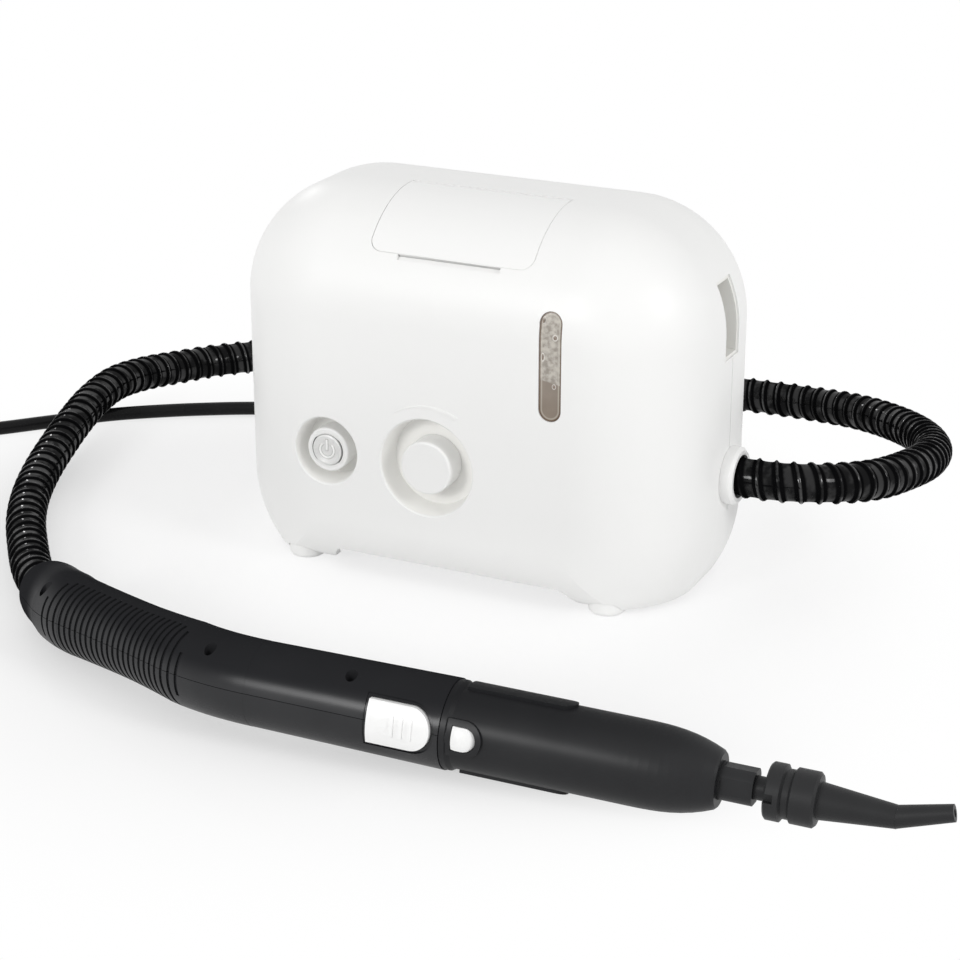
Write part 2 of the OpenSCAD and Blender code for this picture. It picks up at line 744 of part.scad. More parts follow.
module hose_collar() {
    color(white) translate([0, collar_y, collar_z]) difference() {
        union() {
            x_rod(half_w + slack, half_w + 4.5, collar_r);
            x_rod(half_w + 4.5, half_w + 6, collar_r, collar_r - 1.5);
            x_rod(collar_seat - 3, half_w + 1, collar_r - 2);
        }
        x_rod(collar_seat, half_w + 10, hose_d / 2 + 0.4);
        x_rod(collar_seat - 4, collar_seat + 1, 4.2);
    }
}
hose_line = spline(hose_route, 6);
hose_runs = run_lengths(hose_line);
hose_len = hose_runs[len(hose_runs) - 1];
// Ribbed hose: plain for one diameter at each end, ribs between, with its bore
module steam_hose() {
    sides = 8;
    ribs = floor((hose_len - 2 * hose_d) / rib_pitch);
    first = (hose_len - ribs * rib_pitch) / 2;
    low = hose_d / 2 - rib_h;
    spots = concat([0], [for (i = [0:ribs - 1]) for (h = [0, 0.5]) first + (i + h) * rib_pitch], [hose_len]);
    radii = concat([low], [for (i = [0:ribs - 1]) for (h = [0, 1]) low + h * rib_h], [low]);
    outer = [for (d = spots) along(hose_line, hose_runs, d)];
    inner_n = 56;
    inner = [for (i = [0:inner_n]) along(hose_line, hose_runs, hose_len * i / inner_n)];
    n = len(outer);
    m = inner_n + 1;
    base = n * sides;
    bore = [for (i = [0:m - 1]) hose_bore / 2];
    ends = [
        for (k = [0:sides - 1])
            let(a = k, b = (k + 1) % sides, c = base + k, d = base + b,
                p = (n - 1) * sides + a, q = (n - 1) * sides + b, r = base + (m - 1) * sides + a, t = base + (m - 1) * sides + b)
            for (f = [[a, b, c], [b, d, c], [p, r, q], [q, r, t]]) f
    ];
    color(black) polyhedron(
        concat(tube_rings(outer, radii, sides), tube_rings(inner, bore, sides)),
        concat(tube_wall(n, sides, 0, false), tube_wall(m, sides, base, true), ends)
    );
    echo(hose_length = hose_len, hose_ribs = ribs);
}
gland_len = 32;
module cord_gland() {
    r = cord_d / 2;
    color(black) translate([gland_x, 0, gland_z]) difference() {
        union() {
            y_rod(half_d - 8, half_d + 1, 6);
            y_rod(half_d + slack, half_d + 2.5, 9);
            y_rod(half_d + 2, half_d + gland_len, 6.4, r + 1.1);
            for (i = [1:6]) translate([0, half_d + 1 + 4 * i, 0]) y_rod(0, 1.8, 7 - 0.25 * i);
        }
        y_rod(half_d - 10, half_d + gland_len + 1, r + slack);
    }
}
module mains_cord() {
    color(black) solid_tube(spline(cord_route, 4), cord_d / 2, 8);
}
function coil_radius(t) = t < coil_in ? coil_r0 - coil_step * t : coil_r0 + coil_step * (t - 2 * coil_in);
function coil_height(t) =
    let(u = min(max((t - coil_in) * 2 + 0.5, 0), 1)) coil_z + coil_rise * (1 - cos(180 * u)) / 2;
function coil_point(t) =
    let(a = coil_start - 360 * t) [coil_c[0] + coil_radius(t) * cos(a), coil_c[1] + coil_radius(t) * sin(a), coil_height(t)];
coil_steps = round(coil_turns * coil_rings);
coil_pts = [for (i = [0:coil_steps]) coil_point(coil_turns * i / coil_steps)];
coil_end = coil_pts[coil_steps];
coil_dir = unit([coil_end[0] - coil_pts[coil_steps - 1][0], coil_end[1] - coil_pts[coil_steps - 1][1], 0]);
tail_pts = [
    for (i = [1:tail_steps]) let(u = i / tail_steps)
        coil_end + coil_dir * tail_len * u + [0, 0, (tail_z - coil_end[2]) * (1 - cos(180 * u)) / 2]
];
// Least gap of the coil to itself, between points more than half a turn apart
coil_self_gap = min([
    for (i = [0:coil_steps - coil_rings / 2]) for (j = [i + coil_rings / 2:coil_steps]) norm(coil_pts[i] - coil_pts[j])
]) - cord_d;
module cord_coil() {
    color(black) solid_tube(concat(coil_pts, tail_pts), cord_d / 2, 6);
    echo(coil_self_gap = coil_self_gap, cord_length = run_lengths(concat(spline(cord_route, 4), coil_pts, tail_pts))[len(spline(cord_route, 4)) + len(coil_pts) + len(tail_pts) - 1]);
}
tie_w = 14;
tie_t = 0.9;
module cord_tie() {
    inner_w = 29;
    inner_h = coil_rise + cord_d + 0.8;
    color([0.12, 0.12, 0.13]) translate([coil_c[0], coil_c[1], coil_z + coil_rise / 2]) rotate([0, 0, 225])
        translate([coil_r0 - coil_step * coil_in / 2, 0, 0]) rotate([90, 0, 0]) linear_extrude(tie_w, center = true)
            difference() {
                square([inner_w + 2 * tie_t, inner_h + 2 * tie_t], center = true);
                square([inner_w, inner_h], center = true);
            }
}
tail_end = tail_pts[tail_steps - 1];
module plug() {
    color(black) translate([tail_end[0], tail_end[1], tail_z]) rotate([0, 0, atan2(coil_dir[1], coil_dir[0])]) {
        x_rod(0.2, 20, 4.6, 6);
        translate([0, 0, -7]) linear_extrude(14) polygon([[18, -6.5], [26, -13], [52, -13.5], [54, -11.5], [54, 11.5], [52, 13.5], [26, 13], [18, 6.5]]);
        color("silver") for (s = [-1, 1]) translate([0, s * 9.3, 0]) {
            x_rod(53, 70, 2);
            translate([70, 0, 0]) sphere(2);
        }
    }
}

// Handset

module in_hand() {
    translate(hand_at) rotate(hand_turn) children();
}
// Frame at the start of the grip, behind the bend
module in_grip() {
    translate([-neck_len, bend_r, 0]) rotate([0, 0, -bend_angle]) translate([0, -bend_r, 0]) children();
}
// Frame on the handle's line at a distance behind the grip's start, negative inside the first bend
module on_run(t) {
    in_grip() {
        if (t < 0) translate([0, bend_r, 0]) rotate([0, 0, arc_degrees(-t, bend_r)]) translate([0, -bend_r, 0]) children();
        if (t >= 0 && t <= grip_len) translate([-t, 0, 0]) children();
        if (t > grip_len) translate([-grip_len, port_bend_r, 0])
            rotate([0, 0, -arc_degrees(t - grip_len, port_bend_r)]) translate([0, -port_bend_r, 0]) children();
    }
}
function arc_degrees(length, r) = length / r * 180 / PI;
// Frame of the hose port behind the second bend, X pointing forward along the hose
module in_port() {
    in_grip() translate([-grip_len, port_bend_r, 0]) rotate([0, 0, -port_angle]) translate([0, -port_bend_r, 0]) children();
}
function grip_r(t) =
    t < grip_len / 2 ? bend_tube_r + (grip_waist_r - bend_tube_r) * sin(180 * t / grip_len)
    : grip_end_r + (grip_waist_r - grip_end_r) * sin(180 * t / grip_len);
grip_steps = 8;
run_lap = 0.5;                    // straight lengths reach this far into the bends
run_step = 0.06;                  // and are this much thinner there
port_steps = 6;
// The handle's run from the barrel to the second bend, drawn in by inset
module handle_run(inset) {
    waist = bend_tube_r - inset;
    rear = grip_end_r - inset;
    x_rod(-neck_len - run_lap, 0, waist - run_step, handle_r - inset);
    translate([-neck_len, bend_r, 0]) rotate([0, 0, -90 - bend_angle])
        rotate_extrude(angle = bend_angle) translate([bend_r, 0]) circle(waist);
    in_grip() {
        rotate([0, -90, 0]) rotate_extrude() polygon(concat(
            [[0, -run_lap], [waist - run_step, -run_lap]],
            [for (i = [0:grip_steps]) [grip_r(grip_len * i / grip_steps) - inset - run_step, grip_len * i / grip_steps]],
            [[rear - run_step, grip_len + run_lap], [0, grip_len + run_lap]]
        ));
        translate([-grip_len, port_bend_r, 0]) rotate([0, 0, -90 - port_angle])
            rotate_extrude(angle = port_angle) translate([port_bend_r, 0]) circle(rear);
    }
}
// The rounded end of the handle, which the hose goes into
module hose_port() {
    in_port() rotate([0, -90, 0]) rotate_extrude() polygon(concat(
        [[0, -run_lap], [grip_end_r - run_step, -run_lap]],
        [for (i = [0:port_steps])
            [port_end_r + (grip_end_r - 1.4 - port_end_r) * cos(90 * i / port_steps), port_len * (0.45 + 0.55 * sin(90 * i / port_steps))]],
        [[0, port_len]]
    ));
}
rib_start = -10;                  // the ribs begin inside the first bend
rib_end = 82;                     // and end inside the second
rib_step = (rib_end - rib_start) / (grip_ribs - 1);
rib_half = 74;                    // angle to which the grooves reach, up and down from the finger side
rib_corner = 11;
// Share of that angle at a distance from the nearer end of the ribbed field
function rib_share(d) = d >= rib_corner ? 1 : 0.42 + 0.58 * sqrt(1 - pow(1 - d / rib_corner, 2));
// Grooves between the grip's ribs, cut over the finger side only
module grip_grooves() {
    for (i = [0:grip_ribs - 1]) {
        t = rib_start + i * rib_step;
        half = rib_half * rib_share(min(t - rib_start, rib_end - t));
        on_run(t) rotate([0, -90, 0]) rotate([0, 0, -90 - half]) rotate_extrude(angle = 2 * half)
            translate([grip_r(min(max(t, 0), grip_len)) - groove_depth, -rib_step * 0.22]) square([groove_depth + 2, rib_step * 0.44]);
    }
}
// Screws that join the handle's halves, and the posts that hold them
hand_screws = [[-42, -11], [-106, -10], [-210.5, 36]];
post_r = 3.6;
parting = 0.24;                   // hairline between the halves
post_head_z = 3.6;
module hand_screw_places() {
    for (s = hand_screws) translate(s) children();
}
module handle_body() {
    difference() {
        union() {
            handle_run(0);
            hose_port();
        }
        difference() {
            union() {
                handle_run(handle_wall);
                in_port() x_rod(-port_len + port_seat + port_wall, 0.5, grip_end_r - handle_wall - 0.4);
            }
            hand_screw_places() cylinder(h = far / 4, r = post_r, center = true);
        }
        in_port() x_rod(-port_len + port_seat - 1, 1, hose_bore / 2);
        in_port() x_rod(-far / 4, -port_len + port_seat, hose_d / 2 + 0.4);
        y_bar(-far / 4, -handle_r + 7) d_outline(trigger_flat, trigger_x, trigger_w);
        difference() {
            y_bar(-far / 4, -handle_r + 9) d_outline(trigger_flat - 1.4, trigger_x, trigger_w + 2.8);
            x_rod(-far / 2, far / 2, handle_r - 0.7);
        }
        grip_grooves();
    }
}
module handle_upper_half() {
    color(black) in_hand() difference() {
        intersection() {
            handle_body();
            translate([-far, -far / 2, parting / 2]) cube([2 * far, far, far]);
        }
        hand_screw_places() {
            translate([0, 0, post_head_z]) cylinder(h = far / 4, r = 2.5);
            translate([0, 0, -1]) cylinder(h = far / 4, r = 1.3);
        }
    }
}
module handle_lower_half() {
    color(black) in_hand() difference() {
        intersection() {
            handle_body();
            translate([-far, -far / 2, -far - parting / 2]) cube([2 * far, far, far]);
        }
        hand_screw_places() translate([0, 0, -8]) cylinder(h = 9, r = 1.3);
    }
}
module handle_screws() {
    color("dimgray") in_hand() hand_screw_places() difference() {
        union() {
            translate([0, 0, -7]) cylinder(h = post_head_z + 7.1, r = 1.2);
            translate([0, 0, post_head_z]) cylinder(h = 2, r = 2.2);
        }
        for (a = [0, 90]) rotate([0, 0, a]) translate([-1.4, -0.3, post_head_z + 1.2]) cube([2.8, 0.6, 2]);
    }
}
trigger_gap = 0.35;
trigger_rise = 1.2;
module trigger_button() {
    color(white) in_hand() {
        intersection() {
            y_bar(-far / 4, -handle_r + handle_wall + 1) d_outline(trigger_flat + trigger_gap, trigger_x, trigger_w - 2 * trigger_gap);
            x_rod(-far / 4, 0, handle_r + trigger_rise);
        }
        for (i = [-1, 0, 1]) intersection() {
            y_bar(-far / 4, -handle_r) translate([trigger_x - 3 + 4 * i, 0]) stadium(1.6, 9);
            x_rod(-far / 4, 0, handle_r + trigger_rise + 0.6);
        }
        translate([trigger_x - 3, -handle_r + handle_wall, 0]) y_rod(0, 3, 3);
    }
}
module trigger_switch() {
    y0 = -handle_r + handle_wall + 3 + trigger_travel + 0.4;
    color("dimgray") in_hand() translate([trigger_x - 3, 0, 0]) {
        translate([-10, y0, -5]) cube([20, 8, 10]);
        for (x = [-6, 0, 6]) translate([x - 0.4, y0 + 7, -1.5]) cube([0.8, tube_y - tube_r - clear - y0 - 7, 3]);
    }
}
module steam_tube() {
    color("ivory") in_hand() translate([0, tube_y, 0]) difference() {
        x_rod(-neck_len, barrel_len - stub_seat - 1, tube_r);
        x_rod(-neck_len - 1, barrel_len, tube_r - 1.4);
    }
}
taper_start = barrel_len - 42;
function barrel_radius(u) = barrel_front_r + (barrel_r - barrel_front_r) * cos(90 * u) * (2 - cos(90 * u));
stub_r = 7.7;
barrel_bore = handle_r - handle_wall - 0.6;
release_bore = barrel_bore - 2;   // underside of the release button
module barrel() {
    color(black) in_hand() difference() {
        union() {
            rotate([0, 90, 0]) rotate_extrude() polygon(concat(
                [[0, axis_gap], [handle_r - 0.4, axis_gap], [handle_r - 0.4, 2.6], [barrel_r, 4.4], [barrel_r, taper_start]],
                [for (i = [1:10]) [barrel_radius(i / 10), taper_start + (barrel_len - 1 - taper_start) * i / 10]],
                [[barrel_front_r - 1, barrel_len], [0, barrel_len]]
            ));
            for (s = [0, 1]) mirror([0, 0, s]) intersection() {
                x_rod(4, 52, barrel_r + 1.3);
                linear_extrude(far / 8) {
                    translate([6, -5]) square([40, 10]);
                    translate([46, 0]) circle(5);
                }
            }
            intersection() {
                x_rod(1, 30, barrel_r + 1.3);
                y_bar(-far / 8, 0) d_outline(release_flat - 2, release_x, release_w + 5);
            }
        }
        x_rod(-1, barrel_len - stub_seat, barrel_bore);
        x_rod(0, barrel_len + 1, stub_r + slack);
        y_bar(-far / 8, 0) d_outline(release_flat, release_x, release_w);
    }
}
module release_button() {
    color(white) in_hand() difference() {
        intersection() {
            y_bar(-far / 8, -8) d_outline(release_flat + clear, release_x, release_w - 2 * clear);
            translate([release_x - 1.5, -barrel_r + 7, 0]) scale(1) sphere(9.4);
        }
        x_rod(0, 60, release_bore);
    }
}
module release_latch() {
    y0 = -sqrt(pow(release_bore, 2) - pow(release_w / 2, 2)) + release_travel + clear;
    w = sqrt(pow(barrel_bore - clear, 2) - pow(y0, 2));
    color("dimgray") in_hand() translate([-4, y0, -w]) cube([release_x + 6, 2, 2 * w]);
}
module outlet_stub() {
    color(black) in_hand() difference() {
        union() {
            x_rod(barrel_len - stub_seat, barrel_len + 1, stub_r);
            intersection() {
                x_rod(barrel_len, barrel_len + stub_len, stub_r);
                translate([barrel_len, -stub_r + 0.8, -stub_r + 0.8]) cube([stub_len, 2 * stub_r - 1.6, 2 * stub_r - 1.6]);
            }
            x_rod(barrel_len + stub_len - 1, neck_end, neck_r);
        }
        x_rod(barrel_len - stub_seat - 1, neck_end + 1, 2.2);
    }
}
module nozzle_seal() {
    color("firebrick") in_hand() translate([neck_end - 3, 0, 0]) rotate([0, 90, 0])
        rotate_extrude() translate([neck_r + 0.8, 0]) circle(0.7);
}
// Frame of the nozzle's bent tip
module in_tip() {
    translate([cone_end, 0, 0]) rotate([0, -tip_angle, 0]) children();
}
// Everything before (or after) the plane that halves the tip's bend
module tip_side(before) {
    translate([cone_end, 0, 0]) rotate([0, -tip_angle / 2, 0]) translate([before ? -far : 0, -far / 2, -far / 2]) cube(far);
}
module nozzle() {
    color(black) in_hand() difference() {
        union() {
            rotate([0, 90, 0]) rotate_extrude() polygon([
                [0, collar_start], [nozzle_r - 0.8, collar_start], [nozzle_r, collar_start + 0.8], [nozzle_r, collar_start + 6],
                [nozzle_r - 1.6, collar_start + 7], [nozzle_r - 1.6, collar_start + 9.4], [nozzle_r - 0.4, collar_start + 10.4],
                [nozzle_r - 0.4, collar_end - 1], [nozzle_r - 1.4, collar_end], [7.5, collar_end + 0.4], [tip_r, cone_end], [0, cone_end]
            ]);
            intersection() {
                x_rod(cone_end - 1, cone_end + 3, tip_r);
                tip_side(true);
            }
            intersection() {
                in_tip() x_rod(-3, tip_len, tip_r, tip_end_r);
                tip_side(false);
            }
            x_rod(cone_end - 2, cone_end + 2, tip_r - 1);
        }
        x_rod(collar_start - 1, neck_end + clear, neck_r + 0.08);
        translate([neck_end - 3, 0, 0]) rotate([0, 90, 0]) rotate_extrude() translate([neck_r + 0.8, 0]) circle(0.9);
        x_rod(neck_end, cone_end + 0.4, outlet_r);
        in_tip() x_rod(-0.4, tip_len + 1, outlet_r - 0.1);
        for (a = [90, 270]) rotate([a, 0, 0]) translate([collar_start - 1, -1.8, nozzle_r - 3]) cube([5, 3.6, 6]);
        rotate([25, 0, 0]) translate([collar_start + 8, 0, -nozzle_r]) cylinder(h = 5, r = 1.6);
    }
}

front_shell();
rear_shell();
base_plate();
feet();
shell_screws();
lid();
lid_pin();
water_tank();
tank_window();
power_bezel();
power_button();
power_switch();
steam_knob();
steam_regulator();
control_board();
pump();
boiler();
thermostats();
water_tubes();
steam_pipe();
strap_pockets();
strap_bars();
hose_collar();
steam_hose();
cord_gland();
mains_cord();
cord_coil();
cord_tie();
plug();
handle_upper_half();
handle_lower_half();
handle_screws();
trigger_button();
trigger_switch();
steam_tube();
barrel();
release_button();
release_latch();
outlet_stub();
nozzle_seal();
nozzle();
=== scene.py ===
import bpy
import math
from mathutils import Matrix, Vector


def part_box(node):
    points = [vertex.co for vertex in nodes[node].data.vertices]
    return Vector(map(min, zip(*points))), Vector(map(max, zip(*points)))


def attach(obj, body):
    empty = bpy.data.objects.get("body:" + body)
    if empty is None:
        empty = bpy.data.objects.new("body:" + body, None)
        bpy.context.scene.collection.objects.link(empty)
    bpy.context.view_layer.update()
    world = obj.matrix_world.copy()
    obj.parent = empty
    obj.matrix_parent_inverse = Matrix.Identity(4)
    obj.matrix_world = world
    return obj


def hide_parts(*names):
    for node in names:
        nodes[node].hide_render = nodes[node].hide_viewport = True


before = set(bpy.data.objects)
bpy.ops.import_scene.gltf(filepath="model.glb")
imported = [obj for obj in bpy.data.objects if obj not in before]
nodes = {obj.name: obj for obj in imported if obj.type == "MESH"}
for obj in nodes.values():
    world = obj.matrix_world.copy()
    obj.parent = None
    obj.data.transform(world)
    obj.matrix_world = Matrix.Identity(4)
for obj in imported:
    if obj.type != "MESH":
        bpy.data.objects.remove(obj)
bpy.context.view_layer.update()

# Studio: a pale seamless floor under soft light from all around, as in a catalogue picture.
# Three round lamps, from the right, from behind on the left and from the front left, shape the white housing
# and the black handset, and the floor keeps their shadows.
scene = bpy.context.scene
scene.view_settings.view_transform = "Standard"
pure_white = (1.0, 1.0, 1.0, 1.0)
dome_strength, floor_white, floor_size = 0.69, (0.96, 0.96, 0.96, 1.0), 8.0


class Sock:
    """A shader socket that can be used in Python expressions."""

    def __init__(self, out):
        self.out = out
        self.tree = out.id_data

    def node(self, kind, settings=None, output=0, **sockets):
        """A new node: its settings come first, then its sockets' values or links, by name or as i0, i1 and so on."""
        made = self.tree.nodes.new(kind)
        for name, value in (settings or {}).items():
            if name == "stops":
                ramp = made.color_ramp
                while len(ramp.elements) < len(value):
                    ramp.elements.new(0.5)
                for element, (place, colour) in zip(ramp.elements, value):
                    element.position = place
                    element.color = colour
            else:
                setattr(made, name, value)
        for name, value in sockets.items():
            key = int(name[1:]) if name[1:].isdigit() else name.replace("_", " ")
            if isinstance(value, Sock):
                self.tree.links.new(value.out, made.inputs[key])
            else:
                made.inputs[key].default_value = value
        return Sock(made.outputs[output])

    def maths(self, operation, first, second=0.0):
        """A Math node on one or two values."""
        return self.node("ShaderNodeMath", {"operation": operation}, i0=first, i1=second)

    def __add__(self, other):
        return self.maths("ADD", self, other)

    def __radd__(self, other):
        return self.maths("ADD", other, self)

    def __sub__(self, other):
        return self.maths("SUBTRACT", self, other)

    def __rsub__(self, other):
        return self.maths("SUBTRACT", other, self)

    def __mul__(self, other):
        return self.maths("MULTIPLY", self, other)

    def __rmul__(self, other):
        return self.maths("MULTIPLY", other, self)

    def __truediv__(self, other):
        return self.maths("DIVIDE", self, other)

    def __rtruediv__(self, other):
        return self.maths("DIVIDE", other, self)

    def __pow__(self, other):
        return self.maths("POWER", self, other)

    def __rpow__(self, other):
        return self.maths("POWER", other, self)

    def __abs__(self):
        return self.maths("ABSOLUTE", self)

    def __gt__(self, other):
        return self.maths("GREATER_THAN", self, other)

    def __lt__(self, other):
        return self.maths("LESS_THAN", self, other)

    def mix(self, first, second):
        """The first colour where this value is 0, the second where it is 1."""
        return self.node("ShaderNodeMix", {"data_type": "RGBA"}, output=2, i0=self, i6=first, i7=second)

    def part(self, axis):
        """One of the three numbers of a place."""
        return self.node("ShaderNodeSeparateXYZ", output="XYZ".index(axis), i0=self)

    def ease(self, low, high):
        """0 below low, 1 above high, and a soft step between them."""
        return self.node("ShaderNodeMapRange", {"interpolation_type": "SMOOTHSTEP"},
                         Value=self, From_Min=low, From_Max=high)

    def noise(self, scale, detail=2.0):
        """Soft noise, with as many waves to the metre as the scale says."""
        return self.node("ShaderNodeTexNoise", Vector=self, Scale=scale, Detail=detail)

    def feed(self, socket):
        """Links this value to a shader's socket."""
        self.tree.links.new(self.out, socket)


def looked_at(tree):
    """1 for rays that show the studio itself: straight ones, reflections and what is seen through glass."""
    ray = tree.nodes.new("ShaderNodeLightPath")
    straight = Sock(ray.outputs["Is Camera Ray"])
    mirrored = Sock(ray.outputs["Is Glossy Ray"])
    through = Sock(ray.outputs["Is Transmission Ray"])
    return straight.maths("MAXIMUM", straight.maths("MAXIMUM", straight, mirrored), through)


world = bpy.data.worlds.new("studio")
scene.world = world
world.use_nodes = True
world.node_tree.nodes.clear()
world_out = world.node_tree.nodes.new("ShaderNodeOutputWorld")
seen = looked_at(world.node_tree)
dome = seen.node("ShaderNodeBackground", Color=pure_white, Strength=dome_strength)
backdrop = seen.node("ShaderNodeBackground", Color=pure_white, Strength=1.0)
seen.node("ShaderNodeMixShader", i0=seen, i1=dome, i2=backdrop).feed(world_out.inputs["Surface"])

bpy.ops.object.select_all(action="DESELECT")
bpy.ops.mesh.primitive_plane_add(size=floor_size, location=(0.0, 0.0, 0.0))
floor = bpy.context.object
floor.name = "floor"
floor_paint = bpy.data.materials.new("floor_white")
floor_paint.use_nodes = True
floor_paint.node_tree.nodes.clear()
floor_out = floor_paint.node_tree.nodes.new("ShaderNodeOutputMaterial")
seen = looked_at(floor_paint.node_tree)
spot = Sock(floor_paint.node_tree.nodes.new("ShaderNodeTexCoord").outputs["Object"])
# Painted light: the floor's own glow is mixed in more strongly just round the housing, lightening its shadow there,
# less round the handset's shadow, and fully further out.
shadow_middle, painted_lift_under_housing, beside_housing, open_floor = (-0.06, -0.08, 0.0), 0.75, 0.5, 1.0
from_housing = spot.node("ShaderNodeVectorMath", {"operation": "LENGTH"}, output=1, i0=spot).ease(0.1, 0.16)
from_shadow = spot.node("ShaderNodeVectorMath", {"operation": "DISTANCE"}, output=1, i0=spot, i1=shadow_middle)
shine = (painted_lift_under_housing - (painted_lift_under_housing - beside_housing) * from_housing
         + (open_floor - beside_housing) * from_shadow.ease(0.18, 0.32))
lit = seen.node("ShaderNodeBsdfDiffuse", Color=floor_white)
glow = seen.node("ShaderNodeEmission", Color=pure_white, Strength=1.0)
seen.node("ShaderNodeMixShader", i0=seen * shine, i1=lit, i2=glow).feed(floor_out.inputs["Surface"])
floor.data.materials.append(floor_paint)


def lamp(name, place, aim, size, power):
    """A round lamp that shines from its place towards its aim."""
    light = bpy.data.lights.new(name, "AREA")
    light.shape = "DISK"
    light.size = size
    light.energy = power
    holder = bpy.data.objects.new(name, light)
    scene.collection.objects.link(holder)
    holder.location = place
    holder.rotation_euler = (Vector(aim) - Vector(place)).to_track_quat("-Z", "Y").to_euler()


lamp("right_lamp", (1.7, -0.4, 1.0), (0.0, 0.0, 0.06), 0.6, 9.0)
lamp("rear_lamp", (-1.4, 1.1, 0.85), (-0.1, 0.0, 0.05), 0.17, 1.6)
lamp("front_lamp", (-0.5, -1.95, 0.85), (0.0, -0.1, 0.06), 0.6, 13.0)

# Camera: a long lens from the front right and above, where the photograph was taken from.
# Its place was worked out from the feet, the two round recesses and the run of the hose.
camera_turn, camera_pitch = 0.449043, 0.373061
camera_far, camera_lens, camera_sensor = 1.19999, 91.436, 36.0
camera_aim = Vector((-0.007712, 0.0, 0.034348))
camera_back = Vector((
    math.sin(camera_turn) * math.cos(camera_pitch),
    -math.cos(camera_turn) * math.cos(camera_pitch),
    math.sin(camera_pitch),
))
camera_data = bpy.data.cameras.new("camera")
camera_data.sensor_width = camera_sensor
camera_data.lens = camera_lens
camera_data.clip_start = 0.05
camera = bpy.data.objects.new("camera", camera_data)
scene.collection.objects.link(camera)
camera.location = camera_aim + camera_back * camera_far
camera.rotation_euler = (-camera_back).to_track_quat("-Z", "Y").to_euler()
scene.camera = camera

# Base plate: the grey floor of the housing, moulded with air slots and saddles for the boiler and the pump.
# It closes the shells from below and is never polished, so it keeps the flow marks of the mould.


def paint(name, **constants):
    """A new material, its shader and the piece's own coordinates; constants go straight to the shader."""
    made = bpy.data.materials.new(name)
    made.use_nodes = True
    tree = made.node_tree
    shader = tree.nodes["Principled BSDF"]
    for key, value in constants.items():
        shader.inputs[key.replace("_", " ")].default_value = value
    return made, shader, Sock(tree.nodes.new("ShaderNodeTexCoord").outputs["Object"])


def bump(height, strength, distance, shader):
    """Raises a fine relief on the surface where the height is more."""
    raised = height.node("ShaderNodeBump", Strength=strength, Distance=distance, Height=height)
    raised.feed(shader.inputs["Normal"])


def dress(material, *names):
    """Gives CAD nodes a finish in place of the plain one."""
    for name in names:
        data = nodes[name].data
        data.materials.clear()
        data.materials.append(material)


plate_grey, shader, place = paint("plate_grey")
flow = place.noise(22.0, 3.0)
grain = place.noise(1500.0)
flow.mix((0.36, 0.36, 0.345, 1.0), (0.44, 0.44, 0.425, 1.0)).feed(shader.inputs["Base Color"])
(0.5 + grain * 0.16).feed(shader.inputs["Roughness"])
bump(grain, 0.2, 0.0002, shader)
dress(plate_grey, "base_plate")

# Boiler, thermostats and steam pipe: a cast aluminium vessel with two switches on top that feel its heat,
# and a drawn brass pipe that takes the steam to the hose collar.
cast_metal, shader, place = paint("boiler_casting", Metallic=1.0)
sand = place.noise(420.0, 4.0)
stain = place.noise(28.0, 3.0)
stain.mix((0.47, 0.475, 0.485, 1.0), (0.66, 0.665, 0.675, 1.0)).feed(shader.inputs["Base Color"])
(0.4 + sand * 0.25).feed(shader.inputs["Roughness"])
bump(sand, 0.5, 0.0004, shader)
dress(cast_metal, "boiler")

pipe_metal, shader, place = paint("pipe_brass", Metallic=1.0)
drawn = place.node("ShaderNodeMapping", Vector=place, Scale=(6.0, 500.0, 500.0)).noise(1.0, 3.0)
heat = place.part("X").ease(0.08, 0.108)
heat.mix((0.40, 0.23, 0.12, 1.0), (0.62, 0.42, 0.2, 1.0)).feed(shader.inputs["Base Color"])
(0.22 + drawn * 0.24).feed(shader.inputs["Roughness"])
bump(drawn, 0.2, 0.0001, shader)
dress(pipe_metal, "steam_pipe")

# Pump, switches and regulator: dark glass-filled mouldings with a dull, slightly speckled skin.
# The pump lies in saddles of the base plate; the switches are clipped behind what presses them.
dark_moulding, shader, place = paint("dark_moulding", Specular_IOR_Level=0.25)
speck = place.noise(1900.0, 3.0)
flow = place.noise(40.0)
speck.mix((0.022, 0.022, 0.024, 1.0), (0.05, 0.05, 0.053, 1.0)).feed(shader.inputs["Base Color"])
(0.46 + flow * 0.14).feed(shader.inputs["Roughness"])
bump(speck, 0.25, 0.0002, shader)
dress(dark_moulding, "pump", "power_switch", "steam_regulator", "trigger_switch", "release_latch")

# Water and steam tubes: pale silicone, extruded and cut to length, cloudy inside.
# They join the stubs of the tank, the pump and the boiler, and one runs through the handset.
silicone, shader, place = paint("tube_silicone", Coat_Roughness=0.3, Coat_Weight=0.15)
cloud = place.noise(90.0, 3.0)
cloud.mix((0.60, 0.57, 0.50, 1.0), (0.74, 0.71, 0.64, 1.0)).feed(shader.inputs["Base Color"])
(0.4 + cloud * 0.15).feed(shader.inputs["Roughness"])
bump(cloud, 0.1, 0.0003, shader)
dress(silicone, "water_tubes", "steam_tube")

# Control board: a green lacquered board that stands on the base plate, with copper tracks under the lacquer.
# The relay, the supply block and the round capacitors stand on its rear face.
board_face, board_left, board_foot, board_boxes_high = 0.0277, -0.090, 0.0149, 0.0275
board_paint, shader, place = paint("board_lacquer")
upright = place.node("ShaderNodeMapping", Vector=place, Rotation=(math.pi / 2, 0.0, 0.0))
tracks = place.node("ShaderNodeTexBrick", {"offset": 0.37}, Vector=upright, Scale=1.0,
                    Color1=(0.012, 0.13, 0.045, 1.0), Color2=(0.016, 0.16, 0.055, 1.0), Mortar=(0.05, 0.27, 0.10, 1.0),
                    Mortar_Size=0.00045, Brick_Width=0.0085, Row_Height=0.0034)
capacitors = place.part("Z") - board_foot > board_boxes_high
supply = place.part("X").ease(board_left + 0.0295, board_left + 0.0305)
boxes = supply.mix((0.016, 0.016, 0.018, 1.0), (0.55, 0.28, 0.03, 1.0))
